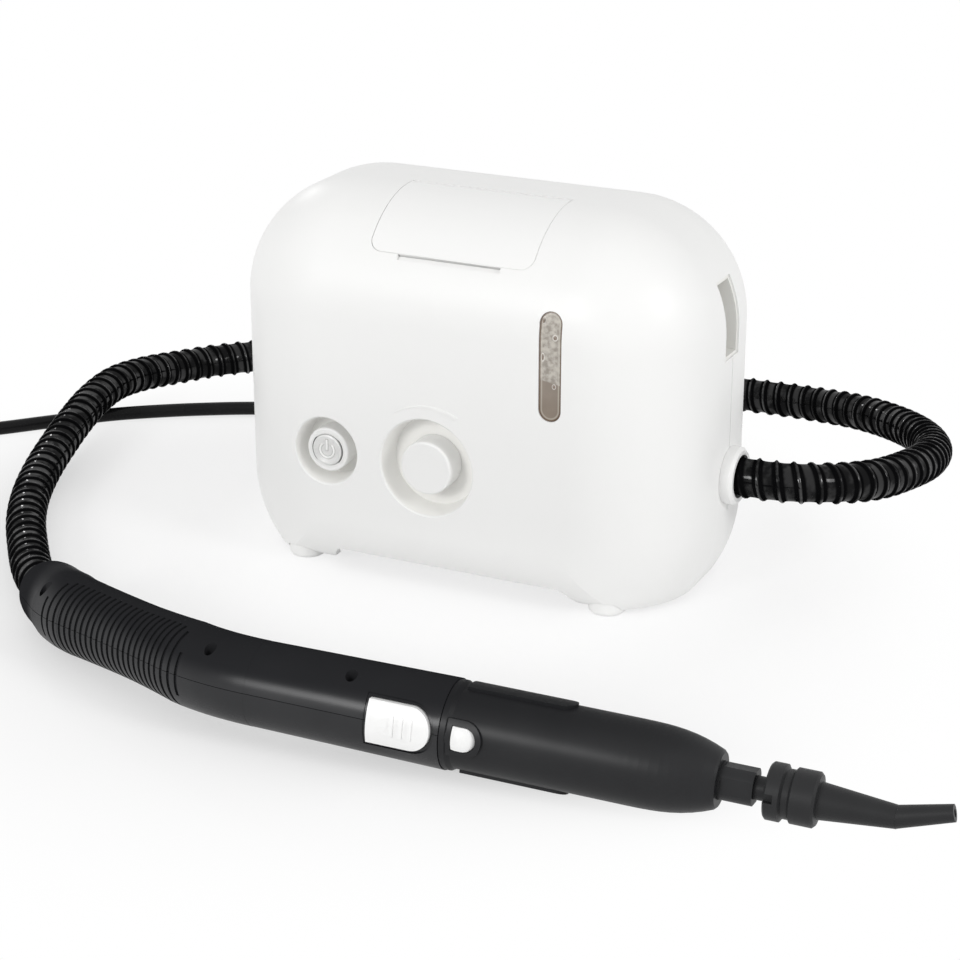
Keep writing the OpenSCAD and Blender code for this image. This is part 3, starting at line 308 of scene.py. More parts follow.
cases = capacitors.mix(boxes, (0.07, 0.075, 0.11, 1.0))
(place.part("Y") > board_face).mix(tracks, cases).feed(shader.inputs["Base Color"])
haze = place.noise(300.0)
(0.25 + haze * 0.2).feed(shader.inputs["Roughness"])
bump(haze, 0.08, 0.0002, shader)
dress(board_paint, "control_board")

# Water tank: blown in a natural greyish beige plastic, matt on the inside.
# It fills the front of the housing under the shells' top, with its mouth below the lid.
tank_beige, shader, place = paint("tank_beige")
grain = place.noise(900.0, 3.0)
drift = place.noise(18.0, 2.0)
drift.mix((0.50, 0.485, 0.435, 1.0), (0.56, 0.545, 0.495, 1.0)).feed(shader.inputs["Base Color"])
(0.44 + grain * 0.14).feed(shader.inputs["Roughness"])
bump(grain, 0.15, 0.0002, shader)
dress(tank_beige, "water_tank")

# Strap pockets: two shallow boxes moulded in a pale warm grey, pressed into the slots in the shells' sides.
# A steel bar runs across each, to loop a carrying strap round.
pocket_pale, shader, place = paint("pocket_pale")
grain = place.noise(1300.0, 3.0)
drift = place.noise(40.0, 2.0)
drift.mix((0.80, 0.795, 0.765, 1.0), (0.86, 0.855, 0.825, 1.0)).feed(shader.inputs["Base Color"])
(0.42 + grain * 0.14).feed(shader.inputs["Roughness"])
bump(grain, 0.12, 0.0002, shader)
dress(pocket_pale, "strap_pockets")

# Shells, feet and collar: two halves moulded in white plastic with a fine satin grain, screwed together from behind.
# The two round wells in the front, for the power button and the knob, are a little smoother, and painted paler as
# painted light that lifts the shade in them.
# Four feet plug into the corners, and the collar on the right clamps the hose.
power_x, knob_x, control_z = -0.0587, -0.0055, 0.0627
power_well, knob_well, well_edge = 0.0185, 0.0265, 0.001
well_mouth, well_floor = (-0.0628, -0.0612), (-0.045, -0.042)


def from_axis(place, x, z):
    """How far a place is from the line that runs from front to back at x and z."""
    off_x, off_z = place.part("X") - x, place.part("Z") - z
    return (off_x * off_x + off_z * off_z) ** 0.5


white_plastic, shader, place = paint("white_moulding", Specular_IOR_Level=0.35)
tone = place.noise(9.0)
grain = place.noise(1500.0)
handling = place.noise(45.0, 4.0)
behind = place.part("Y").ease(*well_mouth) * (1.0 - place.part("Y").ease(*well_floor))
round_power = 1.0 - from_axis(place, power_x, control_z).ease(power_well, power_well + well_edge)
round_knob = 1.0 - from_axis(place, knob_x, control_z).ease(knob_well, knob_well + well_edge)
# Painted light: inside the two wells the base colour is paler, lifting their shade; the lower roughness there is real
# polish.
well_polish_and_painted_light = behind * (round_power + round_knob)
skin = tone.mix((0.85, 0.85, 0.84, 1.0), (0.87, 0.87, 0.862, 1.0))
well_polish_and_painted_light.mix(skin, (0.925, 0.92, 0.895, 1.0)).feed(shader.inputs["Base Color"])
(0.3 + grain * 0.1 + handling * 0.08 - well_polish_and_painted_light * 0.06).feed(shader.inputs["Roughness"])
bump(grain, 0.05, 0.0002, shader)
dress(white_plastic, "front_shell", "rear_shell", "feet", "hose_collar")

# Screws, hinge pin, strap bars and heat switches: bright steel, turned or drawn, with fine lines across.
# The screws hold the shells and the handle, and the pin and the bars are pressed into their bores.
steel, shader, place = paint("bright_steel", Metallic=1.0)
lines = place.node("ShaderNodeMapping", Vector=place, Scale=(2500.0, 60.0, 2500.0)).noise(1.0, 3.0)
smear = place.noise(60.0, 3.0)
smear.mix((0.52, 0.52, 0.53, 1.0), (0.7, 0.7, 0.71, 1.0)).feed(shader.inputs["Base Color"])
(0.18 + lines * 0.24).feed(shader.inputs["Roughness"])
bump(lines, 0.15, 0.0001, shader)
dress(steel, "shell_screws", "lid_pin", "strap_bars", "thermostats", "handle_screws")

# Level window: a smoky clear pane let into the front, with a dark glued rim, through which the water shows.
# The water stands a little below the middle, its surface tilted a touch, and drops cling above it.
pane_x, pane_z = 0.0572, 0.1213
pane_half, pane_round, pane_front = 0.0257, 0.0055, -0.0624
water_line, water_tilt = 0.1141, 0.17
pane_smoke, shader, place = paint("pane_smoke", Coat_Weight=0.6, Coat_Roughness=0.08)
across, up = place.part("X") - pane_x, place.part("Z")
beyond = place.maths("MAXIMUM", abs(up - pane_z) - (pane_half - pane_round), 0.0)
reach = (across * across + beyond * beyond) ** 0.5
mist = place.noise(420.0, 4.0)
film = place.noise(150.0, 3.0)
wet = (water_line - up - across * water_tilt).ease(-0.0003, 0.0003)
air_tone = mist.ease(0.32, 0.68).mix((0.285, 0.255, 0.22, 1.0), (0.52, 0.485, 0.43, 1.0))
water_tone = film.mix((0.215, 0.175, 0.14, 1.0), (0.29, 0.24, 0.195, 1.0))
seen_through = wet.mix(air_tone, water_tone)
drop_spots = (
    (-0.0035, 0.1428, 0.45, 1.2), (0.0022, 0.1354, 0.8, 0.95), (-0.0037, 0.1257, 0.4, 1.5), (0.0019, 0.1124, 0.5, 0.8),
)
drop_radius, drop_flat, drop_back, halo_wider = 0.001, 0.4, 0.0001, 0.35
# Painted highlight: a pale rim round each drop on the pane stands for the light caught at the drop's edge.
for aside, height, wide, tall in drop_spots:
    off_x, off_z = (across - aside) / (wide + halo_wider), (up - height) / (tall + halo_wider)
    off = (off_x * off_x + off_z * off_z) ** 0.5
    painted_drop_highlight = off.ease(0.0007, 0.0009) * (1.0 - off.ease(0.001, 0.0013)) * (0.35 + film * 0.9)
    seen_through = painted_drop_highlight.mix(seen_through, (0.78, 0.745, 0.70, 1.0))
edge_band = reach.ease(0.0036, 0.0041) * (1.0 - reach.ease(0.0043, 0.0047))
bordered = (edge_band * 0.5).mix(seen_through, (0.56, 0.52, 0.45, 1.0))
reach.ease(0.0046, 0.0049).mix(bordered, (0.15, 0.105, 0.075, 1.0)).feed(shader.inputs["Base Color"])
(0.16 + film * 0.12).feed(shader.inputs["Roughness"])
bump(mist, 0.06, 0.0003, shader)
dress(pane_smoke, "tank_window")


def finish_piece(name, material, body):
    """Puts a modelled piece at the origin with its place in its mesh, and lets it ride on its body."""
    made = bpy.context.object
    made.name = name
    bpy.ops.object.transform_apply(location=True, rotation=True, scale=True)
    made.data.materials.clear()
    made.data.materials.append(material)
    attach(made, body)


def only(made):
    """Selects one object alone."""
    bpy.ops.object.select_all(action="DESELECT")
    made.select_set(True)
    bpy.context.view_layer.objects.active = made


def own_copy(made):
    """A copy of an object, with its own mesh."""
    twin = made.copy()
    twin.data = made.data.copy()
    scene.collection.objects.link(twin)
    return twin


bpy.ops.object.select_all(action="DESELECT")
bpy.ops.mesh.primitive_uv_sphere_add(segments=20, ring_count=12, radius=drop_radius)
first_drop = bpy.context.object
bpy.ops.object.mode_set(mode="EDIT")
bpy.ops.mesh.select_all(action="SELECT")
bpy.ops.transform.resize(value=(1.0, drop_flat, 1.0))
bpy.ops.mesh.bisect(plane_co=(0.0, drop_back, 0.0), plane_no=(0.0, 1.0, 0.0),
                    clear_outer=True, use_fill=True, threshold=0.000001)
bpy.ops.object.mode_set(mode="OBJECT")
bpy.ops.object.shade_smooth_by_angle(angle=math.radians(50.0))
drops = [first_drop] + [own_copy(first_drop) for other in drop_spots[1:]]
only(first_drop)
for drop, (aside, height, wide, tall) in zip(drops, drop_spots):
    drop.location = (pane_x + aside, pane_front, height)
    drop.scale = (wide, 1.0, tall)
    drop.select_set(True)
bpy.ops.object.transform_apply(location=True, rotation=True, scale=True)
bpy.ops.object.join()
drop_clear, shader, place = paint("drop_clear", Coat_Weight=0.8, Coat_Roughness=0.04)
ripple = place.noise(700.0)
ripple.mix((0.16, 0.115, 0.085, 1.0), (0.30, 0.24, 0.19, 1.0)).feed(shader.inputs["Base Color"])
(0.08 + ripple * 0.08).feed(shader.inputs["Roughness"])
finish_piece("window_drops", drop_clear, "housing")

# Lid: a curved white flap over the tank's mouth, hinged on a steel pin along its rear edge.
# It is moulded from the same plastic, polished a little where fingers lift it.
# A thin lip under its edge narrows the gap around it.
lid_low, lid_rub, lid_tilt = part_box("lid")[0][2], 0.012, math.radians(38.0)
lid_white, shader, place = paint("lid_white")
tone = place.noise(12.0)
grain = place.noise(1500.0)
rubbed = 1.0 - place.part("Z").ease(lid_low, lid_low + lid_rub)
tone.mix((0.855, 0.855, 0.845, 1.0), (0.872, 0.872, 0.864, 1.0)).feed(shader.inputs["Base Color"])
(0.34 + grain * 0.1 - rubbed * 0.06).feed(shader.inputs["Roughness"])
bump(grain, 0.05, 0.0002, shader)
dress(lid_white, "lid")


def pick(made, kind, test):
    """Opens a piece for editing with only those of its faces or points selected that pass the test."""
    only(made)
    bpy.ops.object.mode_set(mode="EDIT")
    bpy.ops.mesh.select_mode(type=kind)
    bpy.ops.mesh.select_all(action="DESELECT")
    bpy.ops.object.mode_set(mode="OBJECT")
    for item in made.data.polygons if kind == "FACE" else made.data.vertices:
        item.select = test(item)
    bpy.ops.object.mode_set(mode="EDIT")


lip_out, lip_sunk, lip_thick, lip_rear = 0.0002, 0.0004, 0.0006, -0.014
lid_out = Vector((0.0, -math.sin(lid_tilt), math.cos(lid_tilt)))
lid_place = nodes["lid"].matrix_world.copy()
lip = own_copy(nodes["lid"])
lip.parent = None
lip.matrix_world = lid_place
only(lip)
bpy.ops.object.transform_apply(location=True, rotation=True, scale=True)
bpy.ops.object.mode_set(mode="EDIT")
bpy.ops.mesh.select_all(action="SELECT")
bpy.ops.mesh.remove_doubles(threshold=0.00001)
bpy.ops.object.mode_set(mode="OBJECT")
pick(lip, "FACE", lambda face: face.normal.dot(lid_out) < 0.35)
bpy.ops.mesh.delete(type="FACE")
bpy.ops.mesh.select_all(action="SELECT")
bpy.ops.mesh.bisect(plane_co=(0.0, lip_rear, 0.0), plane_no=(0.0, 1.0, 0.0), clear_outer=True)
bpy.ops.mesh.select_all(action="SELECT")
bpy.ops.transform.translate(value=-lip_sunk * lid_out)
bpy.ops.mesh.extrude_region_move(TRANSFORM_OT_translate={"value": -lip_thick * lid_out})
bpy.ops.mesh.select_all(action="SELECT")
bpy.ops.mesh.normals_make_consistent(inside=False)
bpy.ops.transform.shrink_fatten(value=lip_out, use_even_offset=True)
bpy.ops.object.mode_set(mode="OBJECT")
bpy.ops.object.shade_smooth_by_angle(angle=math.radians(30.0))
finish_piece("lid_lip", lid_white, "lid")

# Power button: a silvered cap in a rounded white bezel, pressed into the left recess.
# The cap is turned in rings, and a plain power sign stands up from its middle.
cap_face, cap_radius, cap_thick, cap_sunk = -0.0604, 0.0076, 0.0014, 0.0002
sign_radius, sign_thick, sign_gap, sign_top, sign_sunk = 0.0037, 0.00048, 0.7, 0.0052, 0.00015
trim_white, shader, place = paint("trim_white")
grain = place.noise(1700.0)
tone = place.noise(30.0)
tone.mix((0.845, 0.845, 0.835, 1.0), (0.87, 0.87, 0.862, 1.0)).feed(shader.inputs["Base Color"])
(0.25 + grain * 0.1).feed(shader.inputs["Roughness"])
bump(grain, 0.04, 0.0002, shader)
dress(trim_white, "power_bezel", "steam_knob")

cap_silver, shader, place = paint("cap_silver", Coat_Weight=0.3, Coat_Roughness=0.15)
out_x, out_z = place.part("X") - power_x, place.part("Z") - control_z
out = from_axis(place, power_x, control_z)
rings = out * 14000.0
turned = rings.maths("SINE", rings)
spin = place.noise(900.0, 3.0)
# Painted shade: the cap is darker in a thin band along the power sign's ring and bar, standing for the shade round the
# raised sign.
sign_near = (1.0 - abs(out - sign_radius).ease(0.0006, 0.0011)) * (1.0 - out_z.ease(0.0023, 0.0028))
bar_near = (1.0 - abs(out_x).ease(0.0006, 0.0011)) * (1.0 - abs(out_z - sign_top / 2).ease(0.0028, 0.0033))
painted_sign_shade = out.maths("MAXIMUM", sign_near, bar_near)
silver = spin.mix((0.72, 0.72, 0.71, 1.0), (0.79, 0.79, 0.78, 1.0))
painted_sign_shade.mix(silver, (0.52, 0.52, 0.505, 1.0)).feed(shader.inputs["Base Color"])
(0.28 + turned * 0.04 + spin * 0.08).feed(shader.inputs["Roughness"])
(0.08 + spin * 0.12).feed(shader.inputs["Metallic"])
bump(turned, 0.25, 0.00005, shader)
dress(cap_silver, "power_button")

bpy.ops.object.select_all(action="DESELECT")
bpy.ops.mesh.primitive_cylinder_add(vertices=72, radius=cap_radius, depth=cap_thick, rotation=(math.pi / 2, 0.0, 0.0),
                                    location=(power_x, cap_face - cap_thick / 2 + cap_sunk, control_z))
cap = bpy.context.object
bpy.ops.object.transform_apply(location=True, rotation=True, scale=True)


def cap_middle(face):
    """The round face at the middle of the cap's front."""
    return face.normal.y < -0.9 and math.hypot(face.center.x - power_x, face.center.z - control_z) < 0.0002


def soften(made, width, angle):
    """Rounds a piece's edges by a small bevel and shades it smooth up to an angle in degrees."""
    edges = made.modifiers.new("soft_edge", "BEVEL")
    edges.width = width
    edges.segments = 2
    edges.limit_method = "ANGLE"
    bpy.ops.object.modifier_apply(modifier="soft_edge")
    bpy.ops.object.shade_smooth_by_angle(angle=math.radians(angle))


for inset, rise in ((0.0007, 0.00025), (0.0006, 0.0), (0.0004, -0.0002)):
    pick(cap, "FACE", cap_middle)
    bpy.ops.mesh.inset(thickness=inset, depth=rise)
    bpy.ops.object.mode_set(mode="OBJECT")
soften(cap, 0.00012, 35.0)
finish_piece("power_cap", cap_silver, "power_button")

step_inner, step_outer, step_back, step_thick = 0.0079, 0.0093, -0.0606, 0.0004
bpy.ops.object.select_all(action="DESELECT")
bpy.ops.mesh.primitive_circle_add(vertices=96, radius=step_outer, rotation=(math.pi / 2, 0.0, 0.0),
                                  location=(power_x, step_back, control_z))
step_ring = bpy.context.object
bpy.ops.object.transform_apply(location=True, rotation=True, scale=True)
bpy.ops.object.mode_set(mode="EDIT")
bpy.ops.mesh.select_all(action="SELECT")
bpy.ops.mesh.extrude_edges_move()
shrink = step_inner / step_outer
bpy.ops.transform.resize(value=(shrink, 1.0, shrink), center_override=(power_x, step_back, control_z))
bpy.ops.mesh.select_all(action="SELECT")
bpy.ops.mesh.extrude_region_move(TRANSFORM_OT_translate={"value": (0.0, -step_thick, 0.0)})
bpy.ops.mesh.select_all(action="SELECT")
bpy.ops.mesh.normals_make_consistent(inside=False)
bpy.ops.object.mode_set(mode="OBJECT")
soften(step_ring, 0.0001, 40.0)
step_white, shader, place = paint("step_white")
# Painted shade: thin near-black arcs on the ring's inner edge, left and right, stand for the shadow in the gap round
# the cap.
at_sides = 1.0 - abs(place.part("Z") - control_z).ease(0.005, 0.0064)
painted_gap_shade = (1.0 - from_axis(place, power_x, control_z).ease(0.0081, 0.0084)) * at_sides
grain = place.noise(1700.0)
skin = grain.mix((0.80, 0.80, 0.79, 1.0), (0.84, 0.84, 0.83, 1.0))
painted_gap_shade.mix(skin, (0.02, 0.02, 0.021, 1.0)).feed(shader.inputs["Base Color"])
(0.28 + grain * 0.1).feed(shader.inputs["Roughness"])
finish_piece("bezel_step", step_white, "housing")

sign_face = cap_face - cap_thick + sign_sunk
bpy.ops.object.select_all(action="DESELECT")
bpy.ops.mesh.primitive_torus_add(major_segments=60, minor_segments=10, rotation=(math.pi / 2, 0.0, 0.0),
                                 major_radius=sign_radius, minor_radius=sign_thick,
                                 location=(power_x, sign_face, control_z))
ring = bpy.context.object
bpy.ops.object.transform_apply(location=True, rotation=True, scale=True)
pick(ring, "FACE", lambda face: abs(math.atan2(face.center.x - power_x, face.center.z - control_z)) < sign_gap)
bpy.ops.mesh.delete(type="FACE")
bpy.ops.mesh.select_all(action="SELECT")
bpy.ops.mesh.fill_holes(sides=0)
bpy.ops.object.mode_set(mode="OBJECT")
bpy.ops.object.select_all(action="DESELECT")
bpy.ops.mesh.primitive_cube_add(size=1.0, location=(power_x, sign_face, control_z + sign_top / 2),
                                scale=(2 * sign_thick, 2 * sign_thick, sign_top))
bpy.ops.object.transform_apply(location=True, rotation=True, scale=True)
bpy.ops.object.mode_set(mode="EDIT")
bpy.ops.mesh.select_all(action="SELECT")
bpy.ops.mesh.bevel(offset=0.00016, segments=3)
bpy.ops.object.mode_set(mode="OBJECT")
ring.select_set(True)
bpy.context.view_layer.objects.active = ring
bpy.ops.object.join()
bpy.ops.object.shade_smooth_by_angle(angle=math.radians(40.0))
sign_pale, shader, place = paint("sign_pale")
grain = place.noise(2500.0)
grain.mix((0.86, 0.86, 0.85, 1.0), (0.92, 0.92, 0.91, 1.0)).feed(shader.inputs["Base Color"])
(0.25 + grain * 0.1).feed(shader.inputs["Roughness"])
finish_piece("power_sign", sign_pale, "power_button")

# Steam scale: a slim crescent raised on the front shell over the knob, growing from less steam to more.
# It is part of the moulding, in the shell's own plastic.
front_y = -0.063
scale_inner, scale_from, scale_to = 0.0296, math.radians(124.0), math.radians(61.0)
scale_thin, scale_wide, scale_high = 0.0004, 0.0024, 0.0006
scale_shift = (scale_wide - scale_thin) / (math.cos(scale_to) - math.cos(scale_from))
scale_even = scale_thin - scale_shift * math.cos(scale_from)
scale_start = scale_inner + scale_even / 2
scale_x, scale_z = knob_x + scale_start * math.cos(scale_from), control_z + scale_start * math.sin(scale_from)
bpy.ops.object.select_all(action="DESELECT")
bpy.ops.mesh.primitive_plane_add(size=1.0, location=(scale_x, front_y, scale_z), rotation=(0.0, -scale_from, 0.0))
crescent = bpy.context.object
crescent.scale = (scale_even, scale_high, 1.0)
bpy.ops.object.transform_apply(location=True, rotation=True, scale=True)
bpy.ops.object.mode_set(mode="EDIT")
bpy.ops.mesh.select_all(action="SELECT")
bpy.ops.mesh.spin(steps=40, angle=scale_to - scale_from, center=(knob_x, 0.0, control_z), axis=(0.0, 1.0, 0.0))
bpy.ops.mesh.select_all(action="SELECT")
bpy.ops.mesh.remove_doubles(threshold=0.00001)
bpy.ops.mesh.fill_holes(sides=4)
bpy.ops.mesh.normals_make_consistent(inside=False)
bpy.ops.object.mode_set(mode="OBJECT")
pick(crescent, "VERT", lambda point: math.hypot(point.co.x - knob_x, point.co.z - control_z) > scale_start)
bpy.ops.transform.translate(value=(scale_shift, 0.0, 0.0))
bpy.ops.object.mode_set(mode="OBJECT")
soften(crescent, 0.00015, 40.0)
finish_piece("steam_scale", white_plastic, "housing")

# Steam hose: a black plastic tube wound with a narrow moulded bead, glossy where it is rubbed, with a little dust.
# It leaves the collar on the right, runs round behind the housing and lies over the mains cord on the left.
hose_route = [
    (0.1155, 0.004, 0.0575), (0.140, 0.0044, 0.0575), (0.158, 0.011, 0.057), (0.172, 0.025, 0.0548),
    (0.181, 0.046, 0.051), (0.186, 0.076, 0.046), (0.1865, 0.108, 0.040), (0.1805, 0.140, 0.034),
    (0.1655, 0.172, 0.028), (0.1435, 0.201, 0.022), (0.117, 0.223, 0.017), (0.085, 0.236, 0.013),
    (0.048, 0.240, 0.011), (0.005, 0.238, 0.0105), (-0.045, 0.232, 0.0105), (-0.095, 0.226, 0.0105),
    (-0.145, 0.219, 0.0105), (-0.195, 0.206, 0.0105), (-0.232, 0.187, 0.0105), (-0.257, 0.164, 0.0106),
    (-0.271, 0.138, 0.012), (-0.277, 0.110, 0.0156), (-0.277, 0.082, 0.0186), (-0.272, 0.053, 0.0188),
    (-0.264, 0.024, 0.0174), (-0.255, -0.005, 0.015), (-0.244, -0.036, 0.0126), (-0.230, -0.066, 0.0114),
    (-0.213, -0.094, 0.011), (-0.193, -0.1205, 0.0107), (-0.1745, -0.143, 0.0116), (-0.1594, -0.1583, 0.0134),
    (-0.143, -0.1707, 0.0156),
]
hose_radius, hose_sides = 0.010, 32
hose_bead, hose_pitch, hose_valley = 0.0012, 0.0084, 0.12
bead_share, plain_end, plain_ease = 0.34, 0.008, 0.006


def curve_through(points, steps):
    """A smooth line through points, as in the part's own route."""
    line = []
    for i in range(len(points) - 1):
        a = Vector(points[max(i - 1, 0)])
        b = Vector(points[i])
        c = Vector(points[i + 1])
        d = Vector(points[min(i + 2, len(points) - 1)])
        for k in range(steps):
            t = k / steps
            line.append(0.5 * (2 * b + (c - a) * t + (2 * a - 5 * b + 4 * c - d) * t * t
                               + (3 * b - a - 3 * c + d) * t * t * t))
    line.append(Vector(points[-1]))
    return line


def evenly(line, gap):
    """The same line with its points a fixed distance apart, and its length."""
    runs = [0.0]
    for p, q in zip(line, line[1:]):
        runs.append(runs[-1] + (q - p).length)
    count = max(2, round(runs[-1] / gap))
    spots, i = [], 0
    for k in range(count + 1):
        d = runs[-1] * k / count
        while i < len(line) - 2 and runs[i + 1] < d:
            i += 1
        spots.append(line[i].lerp(line[i + 1], (d - runs[i]) / (runs[i + 1] - runs[i])))
    return spots, runs[-1]


def swept_tube(name, line, radius_at, sides):
    """A closed tube along a line; radius_at gives its radius at a distance and an angle, also kept as crest, 0 to 1."""
    points, faces, radii, along = [], [], [], 0.0
    for i, p in enumerate(line):
        ahead = (line[min(i + 1, len(line) - 1)] - line[max(i - 1, 0)]).normalized()
        side = ahead.cross(Vector((0.0, 0.0, 1.0))).normalized()
        up = side.cross(ahead)
        along += (p - line[max(i - 1, 0)]).length
        for k in range(sides):
            angle = 2 * math.pi * k / sides
            radii.append(radius_at(along, angle))
            points.append(p + radii[-1] * (side * math.cos(angle) + up * math.sin(angle)))
    for i in range(len(line) - 1):
        for k in range(sides):
            a, b = i * sides + k, i * sides + (k + 1) % sides
            faces.append((a, b, b + sides, a + sides))
    faces.append(tuple(range(sides - 1, -1, -1)))
    faces.append(tuple((len(line) - 1) * sides + k for k in range(sides)))
    data = bpy.data.meshes.new(name)
    data.from_pydata(points, [], faces)
    data.polygons.foreach_set("use_smooth", [len(f) == 4 for f in faces])
    low, depth = min(radii), max(max(radii) - min(radii), 1e-6)
    data.attributes.new("crest", "FLOAT", "POINT").data.foreach_set("value", [(r - low) / depth for r in radii])
    made = bpy.data.objects.new(name, data)
    scene.collection.objects.link(made)
    only(made)
    bpy.ops.object.mode_set(mode="EDIT")
    bpy.ops.mesh.select_all(action="SELECT")
    bpy.ops.mesh.normals_make_consistent(inside=False)
    bpy.ops.object.mode_set(mode="OBJECT")
    return made


hose_line, hose_length = evenly(curve_through(hose_route, 12), hose_pitch / 16)


def hose_profile(along, angle):
    """A narrow bead that winds once round the hose in each pitch, a shallow valley between; plain at both ends."""
    turn = (along / hose_pitch + angle / (2 * math.pi)) % 1.0
    off = abs(turn - 0.5) * 2
    rise = math.cos(math.pi / 2 * off / bead_share) ** 1.4 if off < bead_share else 0.0
    sink = math.sin(math.pi * (off - bead_share) / (2 * (1 - bead_share))) if off > bead_share else 0.0
    plain = min(1.0, max(0.0, (min(along, hose_length - along) - plain_end) / plain_ease))
    return hose_radius - hose_bead * (1.0 - (rise + hose_valley * (1.0 - sink)) / (1.0 + hose_valley) * plain)


hose = swept_tube("hose_spiral", hose_line, hose_profile, hose_sides)
hose_black, shader, place = paint("hose_gloss_black", Specular_IOR_Level=0.0, Coat_IOR=1.7, Coat_Roughness=0.12)
dust = place.noise(160.0, 5.0)
smear = place.noise(25.0, 3.0)
rubbed = place.noise(110.0, 3.0).ease(0.42, 0.6)
crest = place.node("ShaderNodeAttribute", {"attribute_name": "crest"}, output=2)
dust.mix((0.002, 0.002, 0.0023, 1.0), (0.005, 0.005, 0.0054, 1.0)).feed(shader.inputs["Base Color"])
(0.1 + dust * 0.08 + smear * 0.06).feed(shader.inputs["Roughness"])
on_bead = crest.ease(0.6, 1.0) * (0.2 + rubbed * 0.8)
in_valley = (1.0 - crest.ease(0.02, 0.07)) * (0.1 + rubbed * 0.34)
(on_bead + in_valley).feed(shader.inputs["Coat Weight"])
bump(dust, 0.1, 0.0002, shader)
hose.data.materials.append(hose_black)
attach(hose, "housing")
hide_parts("steam_hose")
hose_line[::8] + [hose_line[-1]]

# Mains cord: a round black flex with a soft sheen, from the gland in the rear wall to a moulded plug.
# What the photograph doesn't show of it is wound up in a coil, held by a tie, beside the left edge of the view.
cord_route = [
    (-0.062, 0.061, 0.034), (-0.062, 0.078, 0.034), (-0.062, 0.095, 0.034), (-0.0624, 0.104, 0.0331),
    (-0.065, 0.116, 0.0292), (-0.072, 0.130, 0.0208), (-0.085, 0.142, 0.011), (-0.106, 0.147, 0.0052),
    (-0.136, 0.142, 0.004), (-0.172, 0.130, 0.004), (-0.208, 0.114, 0.004), (-0.232, 0.1005, 0.004),
    (-0.251, 0.088, 0.004), (-0.270, 0.0735, 0.004), (-0.286, 0.058, 0.004), (-0.301, 0.042, 0.004),
    (-0.316, 0.0255, 0.004), (-0.336, 0.0035, 0.0046), (-0.3536, -0.0156, 0.0052),
]
cord_radius, cord_sides, cord_gap = 0.00375, 24, 0.004
coil_middle = Vector((-0.3895, 0.017, 0.0))
coil_outer, coil_step = 0.0484, 0.008
coil_start, coil_turns, coil_in = -42.9, 4.4, 2.25
coil_low, coil_rise = 0.0052, 0.0082
coil_rings = 36
tail_length, tail_height, tail_rings = 0.045, 0.0076, 12


def coil_point(turn):
    """A point of the coil: inward in the lower layer, outward again in the upper one."""
    if turn < coil_in:
        out = coil_outer - coil_step * turn
    else:
        out = coil_outer + coil_step * (turn - 2 * coil_in)
    climb = min(max((turn - coil_in) * 2 + 0.5, 0.0), 1.0)
    angle = math.radians(coil_start - 360 * turn)
    high = coil_low + coil_rise * (1 - math.cos(math.pi * climb)) / 2
    return coil_middle + Vector((out * math.cos(angle), out * math.sin(angle), high))


cord_line = curve_through(cord_route, 8)
coil_count = round(coil_turns * coil_rings)
coil_line = [coil_point(coil_turns * i / coil_count) for i in range(coil_count + 1)]
coil_end = coil_line[-1]
tail_way = coil_end - coil_line[-2]
tail_way = Vector((tail_way.x, tail_way.y, 0.0)).normalized()
tail_line = []
for i in range(1, tail_rings + 1):
    share = i / tail_rings
    drop = (tail_height - coil_end.z) * (1 - math.cos(math.pi * share)) / 2
    tail_line.append(coil_end + tail_way * tail_length * share + Vector((0.0, 0.0, drop)))
whole_cord, cord_length = evenly(cord_line + coil_line[1:] + tail_line, cord_gap)
cord = swept_tube("mains_flex", whole_cord, lambda along, angle: cord_radius, cord_sides)
cord_black, shader, place = paint("flex_satin_black", Specular_IOR_Level=0.11)
grain = place.noise(900.0, 3.0)
smear = place.noise(40.0)
smear.mix((0.006, 0.006, 0.0065, 1.0), (0.011, 0.011, 0.0115, 1.0)).feed(shader.inputs["Base Color"])
(0.2 + smear * 0.16).feed(shader.inputs["Roughness"])
bump(grain, 0.08, 0.0002, shader)
cord.data.materials.append(cord_black)
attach(cord, "housing")
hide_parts("mains_cord", "cord_coil")

# Gland and plug: black rubber moulded onto both ends of the cord.
# The gland is snapped into the rear wall, and two round nickelled pins stand out of the plug's face.
rubber_black, shader, place = paint("rubber_black", Specular_IOR_Level=0.2)
bloom = place.noise(55.0, 3.0)
grain = place.noise(1600.0)
bloom.mix((0.009, 0.009, 0.0095, 1.0), (0.018, 0.018, 0.019, 1.0)).feed(shader.inputs["Base Color"])
(0.42 + grain * 0.14).feed(shader.inputs["Roughness"])
bump(grain, 0.2, 0.0002, shader)
dress(rubber_black, "cord_gland")

pin_start = 0.0542
plug_black, shader, place = paint("plug_moulding", Specular_IOR_Level=0.25)
far_out = place.node("ShaderNodeVectorMath", {"operation": "DOT_PRODUCT"}, output=1, i0=place, i1=tail_way)
pins = far_out > tail_line[-1].dot(tail_way) + pin_start
grain = place.noise(1600.0)
moulded = grain.mix((0.010, 0.010, 0.0105, 1.0), (0.018, 0.018, 0.019, 1.0))
pins.mix(moulded, (0.68, 0.66, 0.62, 1.0)).feed(shader.inputs["Base Color"])
pins.feed(shader.inputs["Metallic"])
(0.4 + grain * 0.12 - pins * 0.2).feed(shader.inputs["Roughness"])
bump(grain, 0.15, 0.0002, shader)
dress(plug_black, "plug")

